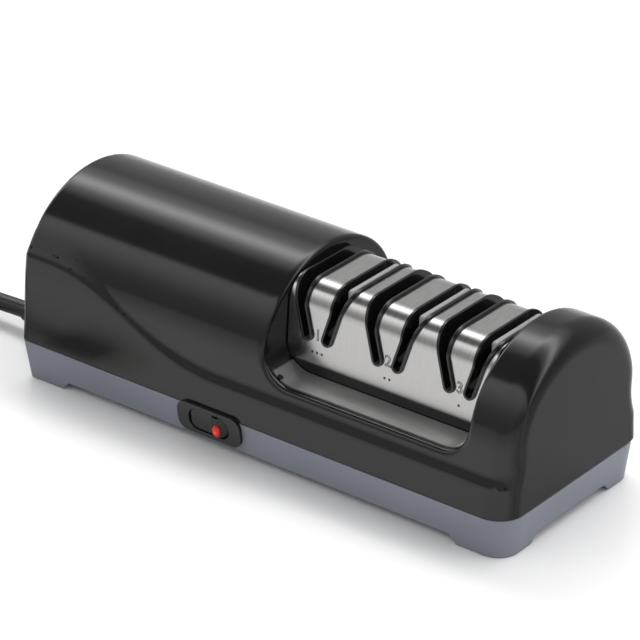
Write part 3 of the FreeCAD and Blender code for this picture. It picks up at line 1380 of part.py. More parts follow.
def make_lead():
    stretch = lead_stretch()
    tube("power_lead", stretch, lead_radius)
    turns = coil_stretch()
    last = turns[-1].Vertexes[-1].Point
    tube("lead_coil", turns, lead_radius)
    tail = plug_stretch(last)
    tube("plug_lead", tail, lead_radius)
    print("least gap of the lead to itself, mm: %.2f" % least_gap(stretch + turns + tail))
    inner = -half_length + base_taper + base_wall
    tip = -half_length - relief_length
    root = -half_length + base_taper * (1 - lead_height / parting_height)
    axis = (lead_offset, lead_height)
    taper = cone("relief_taper", relief_tip_radius, relief_root_radius, root - tip, (tip, *axis), ALONG_X)
    neck = cylinder("relief_neck", relief_neck_radius, inner - root, (root, *axis), ALONG_X)
    floor = foot_height + base_floor
    lock = box("relief_lock", (inner, lead_offset - relief_lock_width / 2, floor),
               (inner + relief_lock, lead_offset + relief_lock_width / 2, floor + relief_lock_height))
    bore = cylinder("relief_bore", lead_radius, relief_length * 2, (tip - 1, *axis), ALONG_X)
    grooves = []
    pitch = (root - tip) / (relief_groove_count + 1)
    for i in range(relief_groove_count):
        start = tip + pitch * (i + 1) - relief_groove_width / 2
        grooves.append(cut("relief_groove_%d" % (i + 1),
                           cylinder("relief_groove_outer_%d" % (i + 1), relief_root_radius + 1,
                                    relief_groove_width, (start, *axis), ALONG_X),
                           cylinder("relief_groove_inner_%d" % (i + 1), relief_tip_radius - relief_groove / 2,
                                    relief_groove_width, (start, *axis), ALONG_X)))
    cut("strain_relief", fuse("relief_form", taper, neck, lock), bore, *grooves)
    x = as_size(last.x) + plug_run + plug_tail
    y = lead_offset - coil_radius * 2 + plug_shift
    start = x + plug_neck_length
    half = plug_width / 2
    block = box("plug_block", (start, y - half, plug_axis_height - plug_thickness / 2),
                (start + plug_length, y + half, plug_axis_height + plug_thickness / 2))
    block = round_edges("plug_rounded", block, plug_round, lambda edge: True)
    neck = cone("plug_neck", plug_neck_end_radius, plug_neck_radius, plug_neck_length + plug_neck_sunk,
                (x, y, plug_axis_height), ALONG_X)
    socket = cylinder("plug_socket", lead_radius, plug_neck_length / 2, (x, y, plug_axis_height), ALONG_X)
    cut("plug_body", fuse("plug_form", block, neck), socket)
    face = start + plug_length
    blades = [box("plug_blade_%s" % word,
                  (face, y + blade_spacing / 2 * side - blade_thickness / 2, plug_axis_height - blade_height / 2),
                  (face + blade_length, y + blade_spacing / 2 * side + blade_thickness / 2,
                   plug_axis_height + blade_height / 2)) for side, word in ((-1, "right"), (1, "left"))]
    gather("plug_blades", *blades)


make_base_shell()
make_pads_and_screws()
make_housing()
make_module_and_cover()
make_rails()
make_decks()
make_spindle()
make_discs()
make_springs()
make_bearings()
make_motor()
make_fan()
make_cradle()
make_switch()
make_board()
make_lead()

nodes = ["base_shell", "rubber_pads", "base_screws", "upper_housing", "guide_module", "steel_cover",
         "deck_plate_front", "deck_plate_back", "blade_rails", "bearing_bracket_left",
         "bearing_bracket_right", "bearing_bushes", "bracket_screws", "motor_can", "end_bell_brush",
         "end_bell_drive", "field_magnets", "brush_holders", "carbon_brushes", "motor_cradle",
         "motor_straps", "strap_screws", "rectifier_board", "switch_bezel", "switch_case",
         "switch_terminals", "strain_relief", "power_lead", "lead_coil", "plug_lead", "plug_body",
         "plug_blades", "drive_spindle", "rotor_core", "rotor_windings", "commutator", "cooling_fan",
         "retaining_clips", "disc_springs"]
nodes += ["%s_disc_%s" % (grade, word) for grade in grades for word in ("left", "right")]
nodes += ["switch_rocker", "switch_lens"]

document.recompute()
faults = []
for thing in document.Objects:
    shape = getattr(thing, "Shape", None)
    if {"Invalid", "Error"} & set(thing.State):
        faults.append(thing.Label + " is not computed")
    elif shape is not None and thing.Label in nodes and (shape.isNull() or not shape.isValid()):
        faults.append(thing.Label + " has no sound shape")
if faults:
    raise ValueError("; ".join(faults))

os.makedirs("parts", exist_ok=True)
for label in nodes:
    document.getObjectsByLabel(label)[0].Shape.exportStep("parts/%s.step" % label)
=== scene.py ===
import json
import math

import bmesh
import bpy
import numpy as np
from mathutils import Matrix, Vector


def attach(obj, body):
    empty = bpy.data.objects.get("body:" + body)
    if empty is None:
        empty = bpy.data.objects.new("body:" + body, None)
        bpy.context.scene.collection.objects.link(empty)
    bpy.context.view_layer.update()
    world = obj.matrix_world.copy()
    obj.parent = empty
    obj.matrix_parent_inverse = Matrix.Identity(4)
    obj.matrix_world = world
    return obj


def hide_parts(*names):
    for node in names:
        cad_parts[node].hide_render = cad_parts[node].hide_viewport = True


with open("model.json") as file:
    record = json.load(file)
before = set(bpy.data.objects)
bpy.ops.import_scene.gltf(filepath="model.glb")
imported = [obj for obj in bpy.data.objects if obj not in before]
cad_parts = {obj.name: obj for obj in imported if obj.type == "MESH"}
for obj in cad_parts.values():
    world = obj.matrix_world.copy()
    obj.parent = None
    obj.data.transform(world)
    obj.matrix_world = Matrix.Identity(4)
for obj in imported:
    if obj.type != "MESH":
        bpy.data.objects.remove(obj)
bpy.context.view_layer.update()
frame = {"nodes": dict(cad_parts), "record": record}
NODES = frame["nodes"]
scene = bpy.context.scene
MM = 0.001
print("pieces carried over:", len(NODES))


# %% [markdown]
# A product picture is taken from a chosen spot with a long lens, so that lines that are level on the object
# stay nearly level in the picture. The place and the turn here were worked out from the straight edges of
# the housing. The three axes are built one by one, which keeps the small roll of the camera in plain sight.


# %% Camera
CAMERA_PLACE = (842.53, -1089.88, 769.41)
YAW, PITCH, ROLL = -37.808, -27.633, 0.315
FOCAL_PIXELS, PICTURE_PIXELS, SENSOR_WIDTH = 3814.09, 640, 36.0


def set_camera():
    camera = bpy.data.objects.new("camera", bpy.data.cameras.new("camera"))
    scene.collection.objects.link(camera)
    yaw, pitch, roll = (math.radians(a) for a in (YAW, PITCH, ROLL))
    ahead = Vector((math.sin(yaw) * math.cos(pitch), math.cos(yaw) * math.cos(pitch), math.sin(pitch)))
    across = ahead.cross(Vector((0, 0, 1))).normalized()
    up = across.cross(ahead)
    right = across * math.cos(roll) + up * math.sin(roll)
    top = up * math.cos(roll) - across * math.sin(roll)
    turn = Matrix((right, top, -ahead)).transposed().to_4x4()
    camera.matrix_world = Matrix.Translation(Vector(CAMERA_PLACE) * MM) @ turn
    camera.data.sensor_width = SENSOR_WIDTH
    camera.data.lens = FOCAL_PIXELS / PICTURE_PIXELS * SENSOR_WIDTH
    camera.data.clip_end = 20.0
    scene.camera = camera
    print("camera lens: %.1f mm" % camera.data.lens)


set_camera()


# %% [markdown]
# Every finish below is a small network of shader nodes around one Principled shader. Written out in full,
# the same few lines would come back for each noise, each range and each mix. This class gives them short
# calls, so that a finish reads as a list of what it is made of.


# %% Node helpers
class Look:
    """A material's node tree, with short calls for the nodes that it is built from."""

    def __init__(self, name):
        self.material = bpy.data.materials.new(name)
        self.material.use_nodes = True
        self.tree = self.material.node_tree
        self.tree.nodes.clear()
        self.out = self.add("OutputMaterial")
        self.shader = self.add("BsdfPrincipled")
        self.join(self.shader.outputs[0], self.out.inputs[0])
        self.place = self.add("TexCoord").outputs["Object"]

    def add(self, kind, **settings):
        node = self.tree.nodes.new("ShaderNode" + kind)
        for key, value in settings.items():
            setattr(node, key, value)
        return node

    def join(self, source, target):
        self.tree.links.new(source, target)

    def feed(self, socket, value):
        if isinstance(value, bpy.types.NodeSocket):
            self.join(value, socket)
        else:
            socket.default_value = value

    def set(self, **values):
        names = {key.lower().replace(" ", "_"): key for key in self.shader.inputs.keys()}
        for key, value in values.items():
            self.feed(self.shader.inputs[names[key]], value)

    def maths(self, operation, *values):
        node = self.add("Math", operation=operation)
        for socket, value in zip(node.inputs, values):
            self.feed(socket, value)
        return node.outputs[0]

    def split(self, vector):
        node = self.add("SeparateXYZ")
        self.join(vector, node.inputs[0])
        return node.outputs

    def distance(self, vector, spot):
        node = self.add("VectorMath", operation="DISTANCE")
        self.join(vector, node.inputs[0])
        node.inputs[1].default_value = spot
        return node.outputs["Value"]

    def stretch(self, vector, x=1.0, y=1.0, z=1.0):
        node = self.add("Mapping")
        self.join(vector, node.inputs["Vector"])
        node.inputs["Scale"].default_value = (x, y, z)
        return node.outputs[0]

    def noise(self, vector, scale, detail=2.0, rough=0.5):
        node = self.add("TexNoise")
        self.join(vector, node.inputs["Vector"])
        node.inputs["Scale"].default_value = scale
        node.inputs["Detail"].default_value = detail
        node.inputs["Roughness"].default_value = rough
        return node.outputs["Fac"]

    def remap(self, value, low, high, to_low, to_high):
        node = self.add("MapRange")
        self.join(value, node.inputs["Value"])
        for key, number in zip(("From Min", "From Max", "To Min", "To Max"), (low, high, to_low, to_high)):
            node.inputs[key].default_value = number
        return node.outputs[0]

    def mix(self, amount, first, second):
        node = self.add("Mix", data_type="RGBA")
        self.feed(node.inputs["Factor"], amount)
        for key, value in (("A", first), ("B", second)):
            socket = [s for s in node.inputs if s.name == key and s.type == "RGBA"][0]
            if isinstance(value, tuple):
                socket.default_value = (*value, 1.0)
            else:
                self.join(value, socket)
        return [s for s in node.outputs if s.type == "RGBA"][0]

    def rounded(self, edge):
        node = self.add("Bevel", samples=6)
        node.inputs["Radius"].default_value = edge * MM
        return node.outputs[0]

    def bump(self, height, strength, distance, normal=None):
        node = self.add("Bump")
        node.inputs["Strength"].default_value = strength
        node.inputs["Distance"].default_value = distance
        self.join(height, node.inputs["Height"])
        if normal is not None:
            self.join(normal, node.inputs["Normal"])
        return node.outputs[0]


# %% [markdown]
# Moulded plastic is never quite even: its tone drifts over a few centimetres and its gloss over a fraction
# of a millimetre. Two noises do that. The edges of a real moulding are rounded by a few tenths of a
# millimetre, and a Bevel node gives that roundness in shading, without another face in the mesh.


# %% Plastic and rubber
def srgb(*levels):
    """The linear colour of a swatch that is given in levels from 0 to 255."""
    shares = [level / 255 for level in levels]
    return tuple(c / 12.92 if c <= 0.04045 else ((c + 0.055) / 1.055) ** 2.4 for c in shares)


PLASTIC_SPREAD = 0.04


def moulded(name, colour, roughness, grain=0.0, grain_scale=2500.0, specular=0.5, edge=0.35):
    """Moulded plastic: a slight unevenness of tone and gloss, and a fine grain where it has one."""
    look = Look(name)
    broad = look.noise(look.place, 18.0, 3.0)
    fine = look.noise(look.place, 900.0, 2.0)
    tone = look.remap(broad, 0.3, 0.7, 0.92, 1.06)
    paint = look.add("Mix", data_type="RGBA", blend_type="MULTIPLY")
    paint.inputs["Factor"].default_value = 1.0
    sockets = [s for s in paint.inputs if s.type == "RGBA"]
    sockets[0].default_value = (*colour, 1.0)
    shade = look.add("CombineColor")
    for socket in shade.inputs:
        if socket.name in ("Red", "Green", "Blue"):
            look.join(tone, socket)
    look.join(shade.outputs[0], sockets[1])
    look.set(base_color=[s for s in paint.outputs if s.type == "RGBA"][0],
             roughness=look.remap(fine, 0.3, 0.7, roughness - PLASTIC_SPREAD, roughness + PLASTIC_SPREAD),
             specular_ior_level=specular)
    normal = look.rounded(edge)
    if grain > 0:
        pits = look.noise(look.place, grain_scale, 2.0, 0.6)
        normal = look.bump(pits, grain, 0.00005, normal)
    look.set(normal=normal)
    return look.material


# %% [markdown]
# Sheet and bar are brushed or ground along one way, so light is drawn out across the streaks. A noise that
# is stretched along that way sets the tone, the gloss and a very slight bump, all three from the same
# streaks, as they are on the real metal.


# %% Brushed metal
METAL_SPREAD = 0.06


def metal(name, colour, roughness, brushing=(1.0, 60.0, 60.0), strength=0.12, scale=120.0):
    """Metal brushed along one way: fine streaks in its gloss and a slight bump."""
    look = Look(name)
    streaks = look.noise(look.stretch(look.place, *brushing), scale, 4.0, 0.65)
    broad = look.noise(look.place, 25.0, 2.0)
    tint = look.mix(look.remap(streaks, 0.3, 0.7, 0.0, 1.0), tuple(c * 0.93 for c in colour),
                    tuple(min(1.0, c * 1.05) for c in colour))
    fine = look.remap(streaks, 0.25, 0.75, roughness - METAL_SPREAD, roughness + METAL_SPREAD)
    rough = look.maths("ADD", fine, look.remap(broad, 0.3, 0.7, -0.02, 0.02))
    look.set(base_color=tint, metallic=1.0, roughness=rough,
             normal=look.bump(streaks, strength, 0.00002, look.rounded(0.25)))
    return look.material


# %% [markdown]
# The housing is polished black plastic, and nearly all that the eye sees of it is reflection. In a studio
# the right end and the far side face the dark of the room. The strength of the reflection is lowered there
# by the way the surface faces, which is simpler than hanging dark cloths round the scene.


# %% Gloss black housing
def housing_look():
    """Gloss black, reflecting less on the right end and the far side."""
    look = Look("gloss black housing")
    broad = look.noise(look.place, 18.0, 3.0)
    facing = look.split(look.add("NewGeometry").outputs["Normal"])
    end = look.remap(facing["X"], 0.6, 0.97, 1.0, 0.33)
    back = look.remap(facing["Y"], 0.0, 0.4, 1.0, 0.35)
    sheen = look.maths("MULTIPLY", look.maths("MULTIPLY", end, back), 0.42)
    tone = look.mix(look.remap(broad, 0.3, 0.7, 0.0, 1.0), srgb(21, 21, 22), srgb(26, 26, 27))
    look.set(base_color=tone,
             roughness=look.remap(look.noise(look.place, 900.0), 0.3, 0.7, 0.12, 0.16),
             specular_ior_level=sheen)
    return look.material


# %% [markdown]
# The cover is a thin steel sheet, brushed upright and bent over the guide block. At its foot it turns in,
# and the dark it mirrors there is painted shade: the colour drops to nearly black there by height.


# %% Steel cover
def cover_look():
    """Steel brushed upright, with painted shade at the foot, where it turns in under itself."""
    look = Look("brushed cover steel")
    streaks = look.noise(look.stretch(look.place, 12.0, 1.0, 1.0), 150.0, 4.0, 0.65)
    # Painted shade: below this height the steel's colour goes nearly black, for the dark its turned-in foot
    # mirrors.
    foot = look.remap(look.split(look.place)["Z"], 0.0449, 0.0458, 0.0, 1.0)
    tone = look.mix(look.remap(streaks, 0.3, 0.7, 0.0, 1.0), (0.42, 0.415, 0.41), (0.49, 0.485, 0.48))
    look.set(base_color=look.mix(foot, (0.07, 0.07, 0.07), tone), metallic=1.0,
             roughness=look.remap(streaks, 0.25, 0.75, 0.17, 0.27),
             normal=look.bump(streaks, 0.1, 0.00002, look.rounded(0.25)))
    return look.material


# %% [markdown]
# The trays on the recess floor are satin steel. Their left ends are darkened by a painted reflection of the
# dark wall of the recess. A screw hole sits in the turned-up corner: it is too small to be worth cutting, so
# its dark inside is painted shade, placed as the distance from one point.


# %% Deck plates
CORNER_HOLE = (0.008, -0.0402, 0.0412)


def deck_look():
    """Satin steel, darkened toward the recess's left wall by a painted reflection, with a small hole of painted
    shade in its turned-up corner.
    """
    look = Look("satin deck steel")
    # Painted shade: the screw hole is a near-black spot in the colour, not a cut.
    hole_painted_shade = look.remap(look.distance(look.place, CORNER_HOLE), 0.0013, 0.0016, 0.0, 1.0)
    # Painted reflection: the steel's colour darkens toward its left end, where it mirrors the recess's dark
    # wall.
    wall_painted_reflection = look.remap(look.split(look.place)["X"], 0.012, 0.027, 0.0, 1.0)
    cloud = look.remap(look.noise(look.stretch(look.place, 1.0, 4.0, 4.0), 60.0, 2.0), 0.3, 0.7, 0.0, 1.0)
    tone = look.mix(wall_painted_reflection, (0.20, 0.20, 0.20), look.mix(cloud, (0.30, 0.30, 0.295), (0.38, 0.38, 0.375)))
    look.set(base_color=look.mix(hole_painted_shade, (0.005, 0.005, 0.005), tone), metallic=0.45,
             roughness=look.remap(cloud, 0.0, 1.0, 0.28, 0.36))
    return look.material


# %% [markdown]
# A small lamp behind the lens of the switch makes it bright in the middle and deep red at the rim. The same
# distance from the middle of the lens drives both the colour of the glow and its strength.


# %% Red lens
def lens_look():
    """A red lens lit from behind: pale at its middle, deep red at its rim."""
    look = Look("lit red lens")
    spots = [v.co for v in NODES["switch_lens"].data.vertices]
    middle = sum(spots, Vector()) / len(spots)
    edge = look.remap(look.distance(look.place, middle), 0.0004, 0.0016, 0.0, 1.0)
    glow = look.mix(edge, (1.0, 0.42, 0.06), (0.75, 0.015, 0.008))
    look.set(base_color=(0.55, 0.01, 0.008, 1.0), roughness=0.08, emission_color=glow,
             emission_strength=look.remap(edge, 0.0, 1.0, 1.2, 0.12))
    return look.material


# %% [markdown]
# Each material slot of the part gets one finish. The pieces inside, which only show when the housing is
# lifted off, have their own too: plated steel, enamelled copper, graphite and ferrite. Dressing the pieces
# by slot keeps like pieces alike.


# %% The finishes
LOOKS = {
    "housing_plastic": housing_look(),
    "base_plastic": moulded("satin grey base", srgb(120, 124, 135), 0.42, grain=0.2, specular=0.4),
    "guide_plastic": moulded("black guide moulding", srgb(16, 16, 17), 0.17, specular=0.5, edge=0.55),
    "cover_steel": cover_look(),
    "deck_steel": deck_look(),
    # Painted highlight: the rails' light grey stands for the light they catch; the plastic itself is dark.
    "rail_plastic": moulded("guide rail with painted highlight", srgb(150, 150, 152), 0.30),
    "bracket_plastic": moulded("black bracket", srgb(40, 40, 42), 0.45, grain=0.2),
    "bell_plastic": moulded("brown end bell", srgb(60, 48, 40), 0.45, grain=0.2),
    "fan_plastic": moulded("ivory fan", srgb(222, 216, 202), 0.40),
    "switch_plastic": moulded("satin black switch", srgb(22, 22, 23), 0.36, grain=0.15, grain_scale=4000.0),
    "rocker_plastic": moulded("semi gloss rocker", srgb(18, 18, 19), 0.28, grain=0.1, grain_scale=4000.0),
    "lead_rubber": moulded("black lead", srgb(20, 20, 21), 0.38, grain=0.1),
    "rubber": moulded("black rubber", srgb(26, 26, 26), 0.75, grain=0.4),
    "screw_steel": metal("zinc plated steel", (0.62, 0.62, 0.60), 0.30, brushing=(1, 1, 1)),
    "spindle_steel": metal("ground steel", (0.60, 0.60, 0.61), 0.22, brushing=(40, 1, 1)),
    "motor_steel": metal("plated sheet steel", (0.58, 0.59, 0.61), 0.35, brushing=(1, 8, 8)),
    "magnet": moulded("ferrite", srgb(58, 58, 62), 0.6, grain=0.3),
    "winding": metal("enamelled copper", (0.72, 0.33, 0.14), 0.30, brushing=(60, 1, 1)),
    "bronze": metal("brass", (0.78, 0.58, 0.28), 0.28, brushing=(1, 1, 20)),
    "carbon": moulded("graphite", srgb(38, 38, 40), 0.5),
    "board": moulded("green laminate", srgb(34, 92, 54), 0.4),
    "diamond": metal("diamond faced steel", (0.34, 0.34, 0.35), 0.45, brushing=(1, 1, 1), strength=0.6,
                     scale=2500.0),
    "abrasive": moulded("pale abrasive", srgb(226, 220, 206), 0.7, grain=0.6, grain_scale=3000.0),
    "lens": lens_look(),
}


def dress_nodes():
    """Give every carried-over node the look of its material slot."""
    for entry in frame["record"]["subparts"]:
        node = NODES[entry["node"]]
        node.data.materials.clear()
        node.data.materials.append(LOOKS[entry["material_slot"]])
    print("finishes:", len(LOOKS))


dress_nodes()


# %% [markdown]
# The upper housing is one moulding whose dome, apron and recess run into each other with soft fillets of
# changing size. Bevelling such meeting lines one by one is fragile. Here each form is a distance field
# instead: a number at every point, negative inside. Two fields are then joined or cut with a radius.


# %% Rounded forms from distances
def length(*parts):
    return np.sqrt(sum(p * p for p in parts))


def meet(a, b, r):
    """Where both forms are, with the edge between them rounded."""
    u, v = np.maximum(a + r, 0), np.maximum(b + r, 0)
    return length(u, v) + np.minimum(np.maximum(a, b), -r)


def join(a, b, r):
    """Where either form is, with the corner between them filled to a radius."""
    u, v = np.maximum(r - a, 0), np.maximum(r - b, 0)
    return np.maximum(np.minimum(a, b), r) - length(u, v)


# %% [markdown]
# Seen from the end, the dome has drafted sides, a round shoulder and a flatter crown, each running smoothly
# into the next. The distance is measured from whichever of the three a point faces.


# %% The section of the dome
# Height of the line where the housing meets the base
PARTING = 18.6


def arch(y, z, foot=45.3, draft=1.8, shoulder=36.0, crown=50.0, low=PARTING, high=83.9):
    """Distance from the dome's section."""
    lean = math.radians(draft)
    a = np.abs(y)
    side = np.array([math.cos(lean), math.sin(lean)])
    up = np.array([-side[1], side[0]])
    base = np.array([foot, low])
    top = np.array([0.0, high - crown])
    back = base - side * shoulder - top
    along = back @ up
    rise = -along + math.sqrt(along * along - (back @ back - (crown - shoulder) ** 2))
    mid = base - side * shoulder + up * rise
    turn = math.atan2(*(mid - top)[::-1])
    from_mid = np.arctan2(z - mid[1], a - mid[0])
    from_top = np.arctan2(z - top[1], a)
    flat = (a - foot) * side[0] + (z - low) * side[1]
    round_side = length(a - mid[0], z - mid[1]) - shoulder
    round_top = length(a, z - top[1]) - crown
    d = np.where(from_top > turn, round_top, round_side)
    return np.where((from_top <= turn) & (from_mid < lean), flat, d)


# %% [markdown]
# A ledge sweeps down the side of the housing, level at first, then sloping, then level again. Two arcs and
# a straight line between them draw it, with each arc tangent to its neighbours.


# %% The swoosh
def ledge_height(x, low=32.5, high=55.0, start=-96.5, finish=-40.3, first=85.0, second=105.0):
    """Height of the swoosh along the housing's side."""
    slope = math.atan2(high - low, finish - start)
    a, b = first * math.tan(slope / 2), second * math.tan(slope / 2)
    x1, x2 = start - a, start + a * math.cos(slope)
    x3, x4 = finish - b * math.cos(slope), finish + b
    z = high - (x - start) * math.tan(slope)
    z = np.where(x < x2, high - first + np.sqrt(np.maximum(first ** 2 - (x - x1) ** 2, 0)), z)
    z = np.where(x < x1, high, z)
    z = np.where(x > x3, low + second - np.sqrt(np.maximum(second ** 2 - (x - x4) ** 2, 0)), z)
    return np.where(x > x4, low, z)


# %% [markdown]
# The dome and the apron are joined with a small fillet, the ends are rounded off, and the recess is cut out
# with a soft rim. The corner at the right end gets rounder toward the base, as on the real moulding.


# %% The outer skin
HALF_LENGTH, WALL = 125, 2.4
APRON_FOOT, APRON_DRAFT, APRON_TOP = 47.65, 5.2, 65
LEDGE_EDGE, LEDGE_TILT = 46.15, 48
RECESS_X, RECESS_HALF, RECESS_FLOOR, RECESS_CORNER = 52.3, 50.5, 39.3, 13


def housing(x, y, z):
    """Distance from the upper housing's skin."""
    a = np.abs(y)
    section = arch(y, z)
    draft = math.radians(APRON_DRAFT)
    flank = (a - APRON_FOOT) * math.cos(draft) + (z - PARTING) * math.sin(draft)
    tilt = math.tan(math.radians(LEDGE_TILT))
    step = 0.5
    bend = (ledge_height(x + step) - ledge_height(x - step)) / (2 * step)
    ledge = (z - ledge_height(x) - (LEDGE_EDGE - a) * tilt) / np.sqrt(1 + bend ** 2 + tilt ** 2)
    apron = np.maximum(meet(flank, ledge, 0.9), z - APRON_TOP)
    form = join(section, apron, 1.6)
    low_down = np.clip((50 - z) / 20, 0, 1)
    form = meet(form, np.abs(x) - HALF_LENGTH, np.where(x > 0, 9.7 + 2.3 * low_down, 2.5))
    u = np.abs(x - RECESS_X) - RECESS_HALF + RECESS_CORNER
    v = RECESS_FLOOR - z + RECESS_CORNER
    opening = length(np.maximum(u, 0), np.maximum(v, 0)) + np.minimum(np.maximum(u, v), 0) - RECESS_CORNER
    return meet(form, -opening, 2.3)


# %% [markdown]
# The moulding is hollow. Keeping only the points within the wall's thickness of the skin gives an even
# wall. A window in the recess floor lets the guide block through, and a bore clears the spindle.


# %% The wall
WINDOW_HALF_LENGTH, WINDOW_HALF_WIDTH, WINDOW_Y, WINDOW_TOP = 43.5, 24.2, -1.2, 41
BORE_RADIUS, BORE_HALF_LENGTH, BORE_Y, BORE_Z = 7.2, 58, -1.5, 44


def housing_shell(x, y, z):
    skin = housing(x, y, z)
    shell = np.maximum(skin, -(skin + WALL))
    sides = np.maximum(np.abs(x - RECESS_X) - WINDOW_HALF_LENGTH, np.abs(y - WINDOW_Y) - WINDOW_HALF_WIDTH)
    window = np.maximum(sides, z - WINDOW_TOP)
    bore = np.maximum(length(y - BORE_Y, z - BORE_Z) - BORE_RADIUS, np.abs(x - RECESS_X) - BORE_HALF_LENGTH)
    return np.maximum(np.maximum(shell, -window), -bore)


# %% [markdown]
# The surface lies where the field is zero. Space is cut into small cells, one vertex goes into each cell
# that the surface crosses, and neighbours are tied with four-sided faces. A few steps down the slope of the
# field then pull the vertices onto the surface.


# %% From a field to a mesh
def slope_of(field, p, h=0.02):
    """Unit direction in which a field rises, and how fast."""
    g = np.stack([(field(*(p + d).T) - field(*(p - d).T)) / (2 * h) for d in np.eye(3) * h], 1)
    size = np.linalg.norm(g, axis=1, keepdims=True)
    return g / np.maximum(size, 1e-9), size[:, 0]


def net(field, low, high, cell):
    """A fine even mesh of the surface where a field is zero: vertices and quads."""
    axes = [np.arange(a, b + cell, cell) for a, b in zip(low, high)]
    shape = [len(a) for a in axes]
    grid = np.empty(shape)
    for i, x in enumerate(axes[0]):
        yy, zz = np.meshgrid(axes[1], axes[2], indexing="ij")
        grid[i] = field(np.full_like(yy, x), yy, zz)
    inside = grid < 0
    cells = tuple(n - 1 for n in shape)
    total = np.zeros((*cells, 3))
    count = np.zeros(cells)
    corners = [(i, j, k) for i in (0, 1) for j in (0, 1) for k in (0, 1)]

    def view(a, c):
        return a[tuple(slice(o, n + o) for o, n in zip(c, cells))]

    for c in corners:
        for axis in range(3):
            if c[axis]:
                continue
            d = tuple(v + (i == axis) for i, v in enumerate(c))
            a, b = view(grid, c), view(grid, d)
            crossing = view(inside, c) != view(inside, d)
            t = np.where(crossing, a / np.where(crossing, a - b, 1), 0)
            for i in range(3):
                total[..., i] += np.where(crossing, c[i] + (t if i == axis else 0), 0)
            count += crossing
    active = count > 0
    index = np.full(cells, -1)
    index[active] = np.arange(active.sum())
    where = np.argwhere(active)
    points = (where + total[active] / count[active][:, None]) * cell + np.array(low)
    quads = []
    for axis in range(3):
        u, v = (axis + 1) % 3, (axis + 2) % 3
        n = list(shape)
        n[axis] -= 1
        a = inside[tuple(slice(0, n[i]) if i == axis else slice(1, shape[i] - 1) for i in range(3))]
        b = inside[tuple(slice(1, n[i] + 1) if i == axis else slice(1, shape[i] - 1) for i in range(3))]
        spots = np.argwhere(a != b)
        flip = a[tuple(spots.T)]
        spots = spots + np.array([0 if i == axis else 1 for i in range(3)])
        ring = []
        for du, dv in ((-1, -1), (0, -1), (0, 0), (-1, 0)):
            c = spots.copy()
            c[:, u] += du
            c[:, v] += dv
            ring.append(index[tuple(c.T)])
        ring = np.stack(ring, 1)
        ring[~flip] = ring[~flip][:, ::-1]
        quads.append(ring)
    quads = np.concatenate(quads)
    for _ in range(4):
        away, speed = slope_of(field, points)
        reach = field(*points.T) / np.maximum(speed, 0.3)
        points -= away * np.clip(reach, -cell / 2, cell / 2)[:, None]
    return points, quads


# %% [markdown]
# The mesh is cut level where it meets the base, and its rim is closed. Shading normals come from the slope
# of the field, which is smoother than anything the faces can give. Where two forms meet in a sharp line
# that slope is unsure, and the normal of the mesh itself is taken there.


# %% Upper housing
NET_LOW, NET_HIGH, NET_CELL = (-127, -50, 15.5), (127, 50, 87), 1.3


def make_housing():
    """The upper housing with soft edges, open below, cut level at the parting line."""
    points, quads = net(housing_shell, NET_LOW, NET_HIGH, NET_CELL)
    data = bpy.data.meshes.new("housing_shell")
    data.from_pydata((points * MM).tolist(), [], quads.tolist())
    mesh = bmesh.new()
    mesh.from_mesh(data)
    everything = mesh.verts[:] + mesh.edges[:] + mesh.faces[:]
    bmesh.ops.bisect_plane(mesh, geom=everything, plane_co=(0, 0, PARTING * MM), plane_no=(0, 0, -1),
                           clear_outer=True)
    rim = [e for e in mesh.edges if e.is_boundary]
    bmesh.ops.triangle_fill(mesh, use_beauty=False, edges=rim, normal=(0, 0, -1))
    bmesh.ops.recalc_face_normals(mesh, faces=mesh.faces)
    mesh.to_mesh(data)
    mesh.free()
    spots = np.empty(len(data.vertices) * 3)
    data.vertices.foreach_get("co", spots)
    spots = spots.reshape(-1, 3) / MM
    smooth, speed = slope_of(housing_shell, spots)
    plain = np.empty(len(spots) * 3)
    data.vertex_normals.foreach_get("vector", plain)
    plain = plain.reshape(-1, 3)
    doubtful = (speed < 0.6) | ((smooth * plain).sum(1) < 0.9)
    smooth[doubtful] = plain[doubtful]
    corner_of = np.empty(len(data.loops), int)
    data.loops.foreach_get("vertex_index", corner_of)
    normals = smooth[corner_of]
    for face in data.polygons:
        if abs(face.normal.z) > 0.99 and face.center.z < (PARTING + 0.05) * MM:
            normals[face.loop_start:face.loop_start + face.loop_total] = face.normal
    data.shade_smooth()
    data.normals_split_custom_set(normals.tolist())
    shell = bpy.data.objects.new("housing_shell", data)
    scene.collection.objects.link(shell)
    data.materials.append(LOOKS["housing_plastic"])
    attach(shell, "housing")
    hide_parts("upper_housing")
    print("housing faces:", len(data.polygons))


make_housing()


# %% [markdown]
# The lead is round, leaves the strain relief at the left end and lies coiled beside the housing. It winds
# inward on the upper layer, drops to the lower one and winds out again to the plug. Half circles of
# shrinking radius, each given by the corners round it, make a spiral that never touches itself.


# %% The way of the lead
CORD_RADIUS = 3.75
COIL_X, COIL_RADIUS, COIL_STEP = -200.0, 45.6, 4.025
LOW, TOP = 3.75, 11.8
EXIT_Y, CORNERS_PER_HALF, TURNS_IN = -15.0, 8, 4


